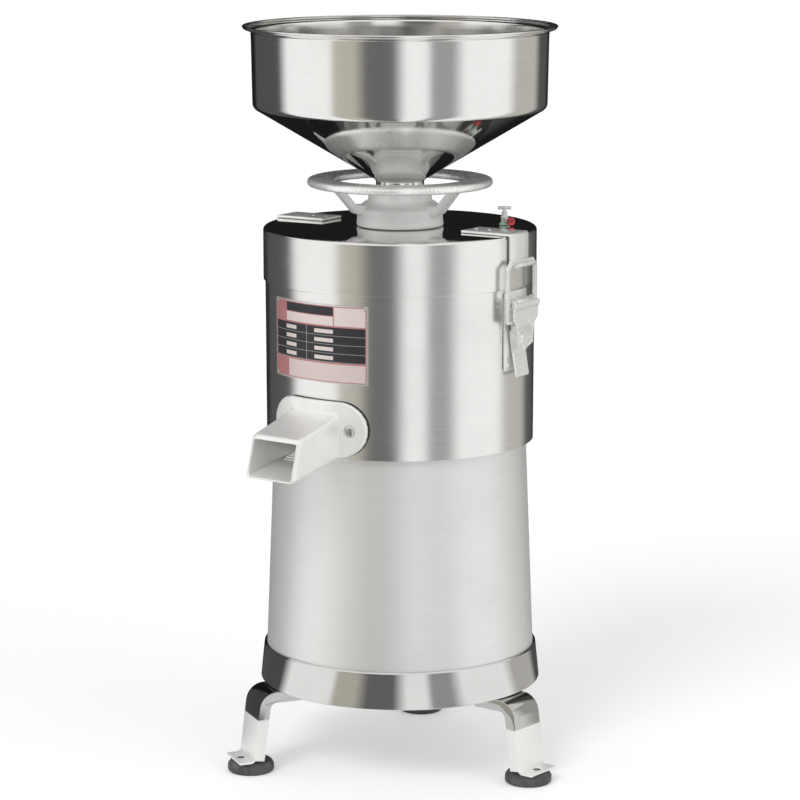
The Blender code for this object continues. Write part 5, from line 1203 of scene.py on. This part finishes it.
def build_spouts(sizes):
    spots = []
    for kind, azimuth in SPOUTS.items():
        middle = build_spout(sizes, kind)
        turn = math.degrees(sizes.screw_place / sizes.flange_out)
        for side in (-1, 1):
            spots.append(wall_spot(azimuth + side * turn, sizes.flange_out + 0.2 * MM, middle))
    screws = studs("spout_screws", spots, sizes.screw_head, sizes.screw_height, FINISHES["machined"],
                   socket=2.1 * MM)
    names = [f"{kind}_spout_screw_{side}" for kind in SPOUTS for side in ("left", "right")]
    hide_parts(*names)
    mount(screws, "root")


def leg_line(sizes, *foot):
    """Outer face of a leg from under the base to the corners of its foot."""
    return fillet_path([(sizes.inner, sizes.top), (sizes.shoulder, sizes.top, sizes.bend), *foot],
                       closed=False, steps=16)


def build_legs(sizes):
    line = leg_line(sizes, (sizes.foot, sizes.tab_top, 4.5 * MM), (sizes.tab_end, sizes.tab_top))
    web = [*line, *offset_path(line, sizes.wall)[::-1]]
    leg = link("leg", extruded("leg", web, sizes.width))
    side_line = leg_line(sizes, (sizes.foot, sizes.tab_top - sizes.wall))
    side_line[-1] = side_line[-1] + Vector((0, 3 * MM))
    cheek = [*offset_path(side_line, sizes.wall / 2), *offset_path(side_line, sizes.depth)[::-1]]
    for side in (-1, 1):
        x = side * (sizes.width - sizes.wall) / 2
        combine(leg, extruded("cheek", cheek, sizes.wall, x), "UNION")
    corner = 5 * MM
    edge = -sizes.width / 2
    past = 1 * MM
    trim = facing_slab("trim", [(edge - past, 0), (edge + corner, 0), (edge - past, corner + past)],
                       0, 20 * MM)
    for side in (-1, 1):
        cutter = trim.copy()
        place = Matrix.Translation((0, -sizes.tab_end, sizes.tab_top + 10 * MM))
        cutter.transform(place @ Matrix.Rotation(QUARTER_TURN, 4, "X") @ Matrix.Diagonal((side, 1, 1, 1)))
        combine(leg, cutter, "DIFFERENCE")
    combine(leg, rod("hole", sizes.hole, 10 * MM, (0, -sizes.hole_place, sizes.tab_top)), "DIFFERENCE")
    soften(leg, 0.8 * MM, 3, 40)
    legs = ringed("legs", take_mesh(leg), 3, sizes.first, FINISHES["leg"])
    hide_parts("leg_1", "leg_2", "leg_3")
    mount(shade(legs, 35), "root")
    build_pads(sizes)


def build_pads(sizes):
    high = sizes.pad_height
    radius = sizes.pad
    dish = 1.2 * MM
    pad = link("pad", lathed("pad", [
        (0, high - 0.4 * MM), (radius - 8 * MM, high, 2 * MM), (radius - 2.5 * MM, high - 1.2 * MM, 2.5 * MM),
        (radius, high - 5 * MM, 2 * MM), (radius, 2.2 * MM, 1.6 * MM), (radius - 2.2 * MM, 0, 0.6 * MM),
        (radius - 6 * MM, 0, 0.5 * MM), (radius - 7 * MM, dish, 0.5 * MM), (0, dish)], 96))
    nub_top = high + 2.5 * MM
    nub_low = high - 3 * MM
    nub = 4 * MM
    nub_mesh = lathed("nub", [(0, nub_top), (nub, nub_top, 1.2 * MM), (nub, nub_low), (0, nub_low)], 32,
                      centre=(0, sizes.pad_place - sizes.hole_place))
    combine(pad, nub_mesh, "UNION")
    pad.data.transform(Matrix.Translation((0, -sizes.pad_place, 0)))
    pads = ringed("foot_pads", take_mesh(pad), 3, sizes.first, FINISHES["rubber"])
    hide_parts("foot_pad_1", "foot_pad_2", "foot_pad_3")
    mount(shade(pads, 40), "root")


LATCH_AZIMUTHS = {"right": 57.0, "left": 237.0}
# How far flanges and ears stand back from the edge of their sheet
EDGE_SETBACK = 0.23 * MM


def lever_face(sizes):
    """Outer face of a lever's sheet: hood over the pivot, step in, finger tab."""
    pivot = (sizes.pivot_radius, sizes.pivot_height)
    hood = arc_points(pivot, sizes.hood_radius, 18, -43, 12)
    step_r = hood[-1][0]
    return fillet_path([
        *hood, (step_r, sizes.knuckle_height - 5 * MM, 2 * MM),
        (sizes.web_radius, sizes.knuckle_height - 11 * MM, 2 * MM),
        (sizes.web_radius, sizes.tab_top, 4 * MM), (sizes.tip_radius, sizes.tip_height)], closed=False)


def lever_cheek(sizes):
    """Side view of a lever's flange, round both of its pivots."""
    pivot = (sizes.pivot_radius, sizes.pivot_height)
    knuckle = (sizes.pivot_radius, sizes.knuckle_height)
    edge = sizes.pivot_radius + 6.2 * MM
    web = sizes.web_radius
    low = sizes.tab_top - 1 * MM
    return [(edge, sizes.pivot_height - 3 * MM), *arc_points(pivot, sizes.knuckle, 20, 180, 10),
            *arc_points(knuckle, sizes.knuckle, 180, 240, 6),
            (sizes.pivot_radius - 1 * MM, sizes.tab_top + 12 * MM), (web - sizes.sheet, low),
            (web + 0.5 * MM, low), (edge, sizes.tab_top + 7 * MM)]


def build_lever(sizes, side):
    face = lever_face(sizes)
    web = [*face, *offset_path(face, sizes.sheet)[::-1]]
    lever = link(f"latch_handle_{side}", extruded("lever", web, sizes.hood_width), FINISHES["strap"])
    hood = sizes.hood_width / 2 - 0.1 * MM
    body = sizes.lever_width / 2
    tab = sizes.tab_width / 2
    hood_low = sizes.knuckle_height + 2 * MM
    body_low = sizes.knuckle_height - 8 * MM
    right = [(hood, sizes.pivot_height + 10 * MM), (hood, hood_low, 2 * MM),
             (body, hood_low - 5 * MM, 2 * MM), (body, body_low), (tab, sizes.tab_top),
             (tab, sizes.tip_height, 2.5 * MM)]
    outline = fillet_path([*right, *[(-point[0], *point[1:]) for point in right[::-1]]])
    combine(lever, facing_slab("shape", outline, 120 * MM, 190 * MM), "INTERSECT")
    for turn in (-1, 1):
        x = turn * ((sizes.lever_width - sizes.cheek) / 2 - EDGE_SETBACK)
        cheek = extruded("cheek", lever_cheek(sizes), sizes.cheek, x)
        for vertex in cheek.vertices:
            share = min(1.0, max(0.0, (body_low - vertex.co.z) / (body_low - sizes.tab_top)))
            vertex.co.x -= turn * share * (body - tab)
        gather(lever, cheek)
    boss_top = 4.6 * MM
    boss_low = -1 * MM
    boss = lathed("boss", [(0, boss_top), (3.4 * MM, boss_top, 1.2 * MM), (5.4 * MM, 2.8 * MM, 1 * MM),
                           (5.6 * MM, boss_low), (0, boss_low)], 40)
    boss.transform(Matrix.Translation((1 * MM, -sizes.web_radius, sizes.tab_top + 11 * MM))
                   @ Matrix.Rotation(QUARTER_TURN, 4, "X"))
    gather(lever, boss)
    cast(lever, sizes.grain, 9)
    lever.data.transform(station(LATCH_AZIMUTHS[side]))
    repaint(lever, FINISHES["strap"])
    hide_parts(f"latch_lever_{side}")
    mount(lever, f"lever_{side}")


def build_latch_plate(sizes, side):
    """Plate bent to the chamber's wall, with an ear on each side for the lever's pin."""
    half = sizes.plate_width / 2
    outline = rounded_sheet(half, sizes.plate_low, sizes.plate_top, 3 * MM)
    plate = curved_plate(f"latch_base_{side}", outline, sizes.plate_in, sizes.plate_in + sizes.plate_sheet,
                         LATCH_AZIMUTHS[side], FINISHES["strap"])
    root = sizes.plate_in - 1.2 * MM
    ear = [(root, sizes.pivot_height - 2 * sizes.ear),
           *arc_points((sizes.pivot_radius, sizes.pivot_height), sizes.ear, -70, 100, 20),
           (root, sizes.pivot_height + 0.4 * sizes.ear)]
    barrel = rod("barrel", sizes.barrel, sizes.barrel_length,
                 (0, -sizes.pivot_radius, sizes.pivot_height), "X")
    barrel.transform(station(LATCH_AZIMUTHS[side]))
    combine(plate, barrel, "UNION")
    for turn in (-1, 1):
        mesh = extruded("ear", ear, sizes.cheek, turn * (half - sizes.cheek / 2 - EDGE_SETBACK))
        mesh.transform(station(LATCH_AZIMUTHS[side]))
        combine(plate, mesh, "UNION")
    soften(plate, 0.4 * MM)
    repaint(plate, FINISHES["strap"])
    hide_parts(f"latch_plate_{side}")
    mount(shade(plate, 40), "root")


def build_latches(sizes):
    for side in LATCH_AZIMUTHS:
        strap = softened_copy(f"hook_strap_{side}", f"latch_strap_{side}", FINISHES["strap"], 0.6 * MM)
        mount(strap, "root")
        build_latch_plate(sizes, side)
        build_lever(sizes, side)
        loop = softened_copy(f"latch_loop_{side}", f"latch_bail_{side}", FINISHES["strap"], 1.2 * MM, 4)
        mount(loop, f"loop_{side}")
        pin = softened_copy(f"latch_pin_{side}", f"latch_axle_{side}", FINISHES["machined"], 0.5 * MM)
        mount(pin, "root")


def build_rivets(sizes):
    """Two rivets on the top of each strap and two on the wall beside it."""
    strap_top = node_heights("hook_strap_right")[1]
    spots = []
    for azimuth in LATCH_AZIMUTHS.values():
        for reach in (96 * MM, 112 * MM):
            place = wall_spot(azimuth, reach, strap_top - 0.1 * MM)[0]
            spots.append((place, Vector((0, 0, 1))))
        for spread in (-6.4, 6.4):
            spots.append(wall_spot(azimuth + spread, 146.5 * MM, 450 * MM))
    rivets = studs("latch_rivets", spots, radius=2.2 * MM, height=1.0 * MM, material=FINISHES["strap"])
    mount(rivets, "root")


def build_data_plate(sizes):
    outline = rounded_sheet(sizes.plate_width / 2, sizes.plate_low, sizes.plate_top, 1.5 * MM)
    azimuth = math.degrees(sizes.plate_angle)
    plate = curved_plate("rating_plate", outline, sizes.plate_in, sizes.plate_out, azimuth,
                         FINISHES["plate"])
    repaint(plate, FINISHES["plate"])
    uv = plate.data.uv_layers.new(name="plate")
    back = station(azimuth).inverted()
    height = sizes.plate_top - sizes.plate_low
    for loop in plate.data.loops:
        place = back @ plate.data.vertices[loop.vertex_index].co
        uv.data[loop.index].uv = (place.x / sizes.plate_width + 0.5, (place.z - sizes.plate_low) / height)
    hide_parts("data_plate")
    mount(shade(plate), "root")
    inset = 3 * MM
    reach = math.degrees(math.asin((sizes.plate_width / 2 - inset) / sizes.plate_out))
    spots = [wall_spot(azimuth + side * reach, sizes.plate_out, z)
             for side in (-1, 1) for z in (sizes.plate_low + inset, sizes.plate_top - inset)]
    rivets = studs("plate_rivets", spots, sizes.rivet, sizes.rivet_height, FINISHES["machined"])
    mount(rivets, "root")


def build_valve(sizes):
    """Small plastic tap on the cover: green seat and nozzle, white stem, red ring, cross bar."""
    seat_low = node_heights("water_valve")[0]
    spot = wall_spot(math.degrees(sizes.valve_angle), sizes.valve_reach, seat_low)[0]
    place = Matrix.Translation(spot)
    piece = turned_piece("valve_stem", [
        (0, 14.2 * MM), (2.6 * MM, 14.2 * MM), (3.2 * MM, 13.4 * MM), (3.2 * MM, 9.6 * MM, 0.5 * MM),
        (4.1 * MM, 8.8 * MM, 0.4 * MM), (4.1 * MM, 7.4 * MM), (3.4 * MM, 7 * MM), (0, 7 * MM)],
        FINISHES["white"], SMALL_ROUND_STEPS, False, place)
    mount(piece, "root")
    valve = link("valve_seat", lathed("valve_seat", [
        (0, 7.2 * MM), (3.6 * MM, 7.2 * MM, 0.4 * MM), (3.8 * MM, 2.4 * MM, 0.6 * MM),
        (5.6 * MM, 2 * MM, 0.6 * MM), (5.6 * MM, 0, 0.3 * MM), (0, 0)], SMALL_ROUND_STEPS))
    tip = 13.5 * MM
    outer = 2.6 * MM
    bore = 1.7 * MM
    tube = lathed("nozzle", [(0, 0), (outer, 0), (outer, tip), (bore, tip), (bore, 5 * MM), (0, 5 * MM)],
                  SMALL_ROUND_STEPS)
    aim = (Matrix.Translation((0, 0, 4.8 * MM)) @ Matrix.Rotation(sizes.nozzle_turn, 4, "Z")
           @ Matrix.Rotation(QUARTER_TURN, 4, "X"))
    tube.transform(aim)
    combine(valve, tube, "UNION")
    valve.data.transform(place)
    repaint(valve, FINISHES["valve"])
    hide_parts("water_valve")
    mount(shade(valve, 40), "root")
    ring = turned_piece("valve_ring", [
        (4.3 * MM, 15.1 * MM, 0.8 * MM), (4.3 * MM, 11.1 * MM, 0.6 * MM), (2.7 * MM, 11.1 * MM),
        (2.7 * MM, 13.3 * MM), (2.0 * MM, 13.3 * MM), (2.0 * MM, 15.1 * MM, 0.4 * MM)], FINISHES["red"],
        SMALL_ROUND_STEPS, place=place @ aim)
    mount(ring, "root")
    low, high = node_heights("valve_handle")
    post = 2 * MM
    handle = link("valve_tap", lathed("valve_tap", [(0, high), (post, high, 0.6 * MM), (post, low), (0, low)],
                                      SMALL_ROUND_STEPS))
    middle = (0, 0, high - sizes.bar)
    combine(handle, rod("bar", sizes.bar, sizes.bar_length, middle, "X", 24), "UNION")
    soften(handle, 0.5 * MM)
    handle.data.transform(Matrix.Translation((spot.x, spot.y, 0)))
    repaint(handle, FINISHES["white"])
    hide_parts("valve_handle")
    mount(shade(handle, 40), "valve_handle_group")


def build_switch(sizes):
    body = softened_copy("power_switch", "switch_frame", FINISHES["black"], sizes.edge)
    mount(body, "root")
    rocker = softened_copy("switch_rocker", "switch_key", FINISHES["black"], sizes.edge)
    mount(rocker, "rocker_group")
    gland = softened_copy("cable_gland", "gland_body", FINISHES["black"], sizes.edge)
    mount(gland, "root")


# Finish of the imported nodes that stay, by the record's material slot
SLOT_FINISHES = {
    "polished_steel": "mirror", "brushed_steel": "satin", "satin_casing": "casing",
    "cast_aluminium": "aluminium", "machined_steel": "machined", "lamination_steel": "lamination",
    "copper_winding": "copper", "grinding_stone": "stone", "pad_rubber": "rubber",
    "seal_rubber": "seal", "black_plastic": "black", "white_plastic": "white", "plate_foil": "plate",
}


def dress_packed_nodes():
    """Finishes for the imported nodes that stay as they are."""
    for part in frame["record"]["subparts"]:
        node = frame["nodes"][part["node"]]
        if not node.hide_render:
            repaint(node, FINISHES[SLOT_FINISHES[part["material_slot"]]])


def hopper_painted_light_mask(hopper):
    """Mask of the places nearer the axis than a limit that runs just inside the hopper's sheet.

    Only the rounding between wall and cone reaches past that limit, so the painted light (a brighter, less
    metallic colour) shows there alone.
    """
    slope = (hopper.wall_low - hopper.neck_radius) / (hopper.bend - hopper.neck_top)
    lean = (hopper.wall_top - hopper.wall_low) / (hopper.top - hopper.lip - 8 * MM - hopper.bend)

    def inside(reach, z):
        cone = (z - hopper.neck_top) * slope + (hopper.neck_radius - hopper.sheet)
        wall = (z - hopper.bend) * lean + (hopper.wall_low - hopper.sheet / 2)
        return reach < cone.math("MINIMUM", wall)

    return inside


# Moulded finishes: name, roughness, scale and depth of the grain, and share of dusty bloom
MOULDED = {
    "rubber": ("pad_rubber_moulded", 0.62, 1500.0, 0.03 * MM, 0.18),
    "seal": ("seal_rubber_sheet", 0.55, 1200.0, 0.02 * MM, 0.0),
    "black": ("black_plastic_moulded", 0.38, 1800.0, 0.02 * MM, 0.05),
    "white": ("white_plastic_moulded", 0.32, 1200.0, 0.01 * MM, 0.0),
    "red": ("red_plastic_moulded", 0.3, 1200.0, 0.01 * MM, 0.0),
    "valve": ("valve_seat_moulded", 0.3, 1200.0, 0.01 * MM, 0.0),
}


def make_finishes(colours):
    steel = colours.steel
    satin = colours.satin
    mirror = colours.mirror
    hopper = bpy.context.scene.grinder_hopper
    stand = bpy.context.scene.grinder_stand
    wheel = bpy.context.scene.grinder_wheel
    bend = hopper.bend + 0.5 * MM
    top = node_heights("cover_skin")[1] - 2.2 * MM
    FINISHES.update({
        # The hopper's inside at the bend gets painted light through the last argument of its finish.
        "hopper": steel_sheet("hopper_steel", steel, mirror, streaks=0.05, smudges=0.04, waves=0.10 * MM,
                              upper=(bend, colours.spun, 1.0, 1.0), painted_light_region=hopper_painted_light_mask(hopper)),
        "cover": steel_sheet("cover_steel", steel, satin, streaks=0.07, smudges=0.05, waves=0.05 * MM,
                             upper=(top, mirror * 0.6, 1.0, 1.0)),
        "satin": steel_sheet("satin_steel", steel, satin, streaks=0.08, smudges=0.05, waves=0.06 * MM),
        "mirror": steel_sheet("mirror_steel", steel, mirror, streaks=0.04, smudges=0.05, waves=0.03 * MM),
        # The legs' upper part, from the bend up under the base, is darkened to 0.55 as painted shade.
        "leg": steel_sheet("leg_steel", tint(steel, 1.15), 0.38, streaks=0.04, smudges=0.05,
                           waves=0.03 * MM, upper=(stand.top - 1.5 * stand.bend, mirror, 0.55, 1.0),
                           metallic=0.3),
        "ring": steel_sheet("ring_steel", tint(steel, 0.84), mirror, streaks=0.04, smudges=0.05,
                            waves=0.03 * MM),
        "strap": cast_metal("plated_strap_steel", colours.strap, 0.26, grain_depth=0.01 * MM,
                            metallic=0.54),
        "casing": steel_sheet("matt_casing_steel", colours.casing, 0.46, streaks=0.06, smudges=0.06,
                              waves=0.05 * MM, metallic=0.65),
        "aluminium": cast_metal("cast_aluminium_fettled", colours.aluminium, 0.40,
                                grain_depth=0.05 * MM, metallic=0.42),
        # Painted light: the wheel's aluminium is brightened by 1.08 against the hopper's shade on its hub.
        "wheel": cast_metal("cast_aluminium_wheel", tint(colours.aluminium, 1.08), 0.38,
                            grain_depth=0.05 * MM, metallic=0.1,
                            polished_from=wheel.rim_top - wheel.rim_thick - 1 * MM),
        "machined": machined_metal("machined_steel_marks", colours.machined, 0.25),
        "lamination": stacked_laminations("core_sheets", colours.lamination),
        "copper": wound_copper("winding_copper", colours.copper),
        "stone": stone_grit("abrasive_stone", colours.stone),
        "plate": printed_plate("rating_plate_print", (0.72, 0.71, 0.70), tuple(colours.plate_pink),
                               tuple(colours.plate_pale), tuple(colours.plate_black)),
    })
    for kind, (name, *settings) in MOULDED.items():
        FINISHES[kind] = moulded(name, getattr(colours, kind), *settings)


# Stage

# Studio cards round the object, in degrees from the front: (from, to, brightness, warmth)
STUDIO_CARDS = ((-180, -150, 0.1, 0), (-145, -105, 0.3, 0), (-95, -55, 0.95, 0), (-50, -35, 0.7, 1),
                (-25, -5, 0.4, 0), (5, 20, 0.95, 0), (25, 40, 0.6, 0), (50, 90, 0.95, 0),
                (100, 125, 0.7, 0.5), (135, 150, 0.3, 0), (160, 180, 0.1, 0))


def light_of(brightness):
    """Light level that shows as a brightness from 0 to 1."""
    return ((brightness + 0.055) / 1.055) ** 2.4


def plain_view(book):
    """1 for what the camera, reflections and transmission see, 0 for light on plain surfaces."""
    rays = book.node("ShaderNodeLightPath").outputs
    seen = [Term(book, rays[f"Is {kind} Ray"]) for kind in ("Camera", "Glossy", "Transmission")]
    return sum(seen[1:], seen[0]).math("MINIMUM", 1.0)


def build_world(settings):
    world = bpy.data.worlds.new("studio")
    bpy.context.scene.world = world
    world.use_nodes = True
    book = NodeBook(world.node_tree)
    world.node_tree.nodes.clear()
    level = book.blend(plain_view(book), settings.ambient, 1.0)
    background = book.node("ShaderNodeBackground", {}, {"Color": (1, 1, 1), "Strength": level})
    output = book.node("ShaderNodeOutputWorld")
    book.feed(output.inputs["Surface"], background.outputs[0])


def build_cards(settings):
    """Grey and white cards round the object, which only its polished metal sees."""
    near = settings.card_near
    far = settings.card_far
    high = settings.card_height
    low = 2 * MM
    back_half = math.radians(60)
    back_slope = math.radians(15)
    mesh = revolved("studio_cards", [(near, low), (far, low), (far, high)], closed=False)
    for vertex in mesh.vertices:
        if vertex.co.z > high / 2:
            behind = math.atan2(vertex.co.x, vertex.co.y)
            share = min(1.0, max(0.0, (back_half - abs(behind)) / back_slope))
            vertex.co.z += share * (settings.back_height - high)
    mesh.transform(Matrix.Translation(AXIS))
    finish = Finish("studio_card_paper")
    x, y = finish.split(finish.place)[:2]
    turn = x.math("ARCTAN2", y * -1.0) / math.tau + 0.5
    more_red = 0.02
    less_blue = 0.06
    stops = [(edge / 360 + 0.5, (light_of(level * (1 + more_red * warmth)), light_of(level),
                                 light_of(level * (1 - less_blue * warmth))))
             for start, end, level, warmth in STUDIO_CARDS for edge in (start, end)]
    strength = 1.2
    paper = finish.node("ShaderNodeEmission", {},
                        {"Color": finish.ramp(turn, stops), "Strength": strength})
    finish.feed(finish.tree.nodes["Material Output"].inputs["Surface"], paper.outputs[0])
    cards = link("studio_cards", mesh, finish.material)
    for ray in ("camera", "diffuse", "transmission", "volume_scatter", "shadow"):
        setattr(cards, f"visible_{ray}", False)


def build_floor(settings):
    half = settings.floor_half
    shape = bmesh.new()
    corners = [shape.verts.new((x * half, y * half, 0)) for x, y in ((-1, -1), (1, -1), (1, 1), (-1, 1))]
    shape.faces.new(corners)
    mesh = plain_mesh(shape, "floor")
    material = bpy.data.materials.new("floor_paper")
    material.use_nodes = True
    book = NodeBook(material.node_tree)
    book.tree.nodes.clear()
    white = 0.86
    glow_strength = 0.26
    paper = book.node("ShaderNodeBsdfDiffuse", {}, {"Color": (white, white, white)})
    glow = book.node("ShaderNodeEmission", {}, {"Color": (1, 1, 1), "Strength": glow_strength})
    lit = book.node("ShaderNodeAddShader", {}, {0: paper.outputs[0], 1: glow.outputs[0]})
    seen = book.node("ShaderNodeMixShader", {},
                     {0: plain_view(book), 1: paper.outputs[0], 2: lit.outputs[0]})
    output = book.node("ShaderNodeOutputMaterial")
    book.feed(output.inputs["Surface"], seen.outputs[0])
    floor = link("floor", mesh, material)


# Lamps: name, share of the key's strength, and pitch, heading and spread in degrees
LAMPS = (("key", 1.0, 48, -30, 25), ("fill", 0.35, 60, 50, 40))


def build_lamps(settings):
    for name, strength, pitch, heading, spread in LAMPS:
        lamp = bpy.data.lights.new(name, "SUN")
        lamp.energy = settings.sun * strength
        lamp.angle = math.radians(spread)
        item = bpy.data.objects.new(name, lamp)
        item.rotation_euler = (math.radians(pitch), 0, math.radians(heading))
        item.visible_glossy = False
        bpy.context.scene.collection.objects.link(item)


def build_camera(settings):
    camera = bpy.data.cameras.new("camera")
    camera.sensor_width = 36
    camera.lens = settings.lens
    item = bpy.data.objects.new("camera", camera)
    item.location = (AXIS.x, AXIS.y - settings.distance, settings.height)
    item.rotation_euler = (QUARTER_TURN - settings.pitch, 0, 0)
    bpy.context.scene.collection.objects.link(item)
    bpy.context.scene.camera = item


# Operators

def group(context, name):
    return getattr(context.scene, f"grinder_{name}")


class MakeFinishes(bpy.types.Operator):
    """Make the metals, plastics, rubbers and the plate print"""
    bl_idname = "grinder.finishes"
    bl_label = "Finishes"

    def execute(self, context):
        make_finishes(group(context, "colours"))
        TREES["ring"] = ring_of_copies_tree()
        TREES["studs"] = studs_tree()
        return {"FINISHED"}


class MakeHopper(bpy.types.Operator):
    """Make the spun hopper with its flared rim"""
    bl_idname = "grinder.hopper"
    bl_label = "Hopper"

    def execute(self, context):
        build_hopper(group(context, "hopper"))
        return {"FINISHED"}


class MakeWheel(bpy.types.Operator):
    """Make the cast hand wheel"""
    bl_idname = "grinder.wheel"
    bl_label = "Hand wheel"

    def execute(self, context):
        build_hand_wheel(group(context, "wheel"))
        return {"FINISHED"}


class MakeShells(bpy.types.Operator):
    """Make the cover, the chamber, the casing and the base ring"""
    bl_idname = "grinder.shells"
    bl_label = "Cover, chamber and casing"

    def execute(self, context):
        build_shells(group(context, "shells"), group(context, "spouts"))
        return {"FINISHED"}


class MakeSpouts(bpy.types.Operator):
    """Make the two cast spouts with gaskets and screws"""
    bl_idname = "grinder.spouts"
    bl_label = "Spouts"

    def execute(self, context):
        build_spouts(group(context, "spouts"))
        return {"FINISHED"}


class MakeStand(bpy.types.Operator):
    """Make the three legs and their pads"""
    bl_idname = "grinder.stand"
    bl_label = "Legs and pads"

    def execute(self, context):
        build_legs(group(context, "stand"))
        return {"FINISHED"}


class MakeLatches(bpy.types.Operator):
    """Make the draw latches, their straps and rivets"""
    bl_idname = "grinder.latches"
    bl_label = "Draw latches"

    def execute(self, context):
        build_latches(group(context, "latch"))
        build_rivets(group(context, "trim"))
        return {"FINISHED"}


class MakeTrim(bpy.types.Operator):
    """Make the rating plate, the water valve, the switch and the gland"""
    bl_idname = "grinder.trim"
    bl_label = "Plate, valve and switch"

    def execute(self, context):
        build_data_plate(group(context, "trim"))
        build_valve(group(context, "trim"))
        build_switch(group(context, "trim"))
        return {"FINISHED"}


class DressInside(bpy.types.Operator):
    """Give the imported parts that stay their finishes"""
    bl_idname = "grinder.inside"
    bl_label = "Inner parts"

    def execute(self, context):
        dress_packed_nodes()
        return {"FINISHED"}


class MakeStage(bpy.types.Operator):
    """Make the floor, the studio light and the camera"""
    bl_idname = "grinder.stage"
    bl_label = "Stage"

    def execute(self, context):
        settings = group(context, "stage")
        build_world(settings)
        build_cards(settings)
        build_floor(settings)
        build_lamps(settings)
        build_camera(settings)
        context.scene.view_settings.view_transform = "Standard"
        return {"FINISHED"}


STEPS = (MakeFinishes, MakeHopper, MakeWheel, MakeShells, MakeSpouts, MakeStand, MakeLatches, MakeTrim,
         DressInside, MakeStage)
GROUPS = {"colours": FinishColours, "hopper": HopperSizes, "wheel": WheelSizes, "shells": ShellSizes,
          "spouts": SpoutSizes, "stand": StandSizes, "latch": LatchSizes,
          "trim": TrimSizes, "stage": StageSettings}


class GrinderPanel(bpy.types.Panel):
    """Lists the steps and the sizes of the grinder"""
    bl_idname = "VIEW3D_PT_grinder"
    bl_label = "Soy milk grinder"
    bl_space_type = "VIEW_3D"
    bl_region_type = "UI"
    bl_category = "Grinder"

    def draw(self, context):
        for step in STEPS:
            self.layout.operator(step.bl_idname)
        for name, kind in GROUPS.items():
            box = self.layout.box()
            box.label(text=name.capitalize())
            for field in kind.__annotations__:
                box.prop(group(context, name), field)


def register():
    for kind in (*GROUPS.values(), *STEPS, GrinderPanel):
        bpy.utils.register_class(kind)
    for name, kind in GROUPS.items():
        setattr(bpy.types.Scene, f"grinder_{name}", bpy.props.PointerProperty(type=kind))


def unregister():
    for name in GROUPS:
        delattr(bpy.types.Scene, f"grinder_{name}")
    for kind in reversed((*GROUPS.values(), *STEPS, GrinderPanel)):
        bpy.utils.unregister_class(kind)


def main():
    register()
    bpy.ops.grinder.finishes()
    bpy.ops.grinder.hopper()
    bpy.ops.grinder.wheel()
    bpy.ops.grinder.shells()
    bpy.ops.grinder.spouts()
    bpy.ops.grinder.stand()
    bpy.ops.grinder.latches()
    bpy.ops.grinder.trim()
    bpy.ops.grinder.inside()
    bpy.ops.grinder.stage()


if __name__ == "__main__":
    main()
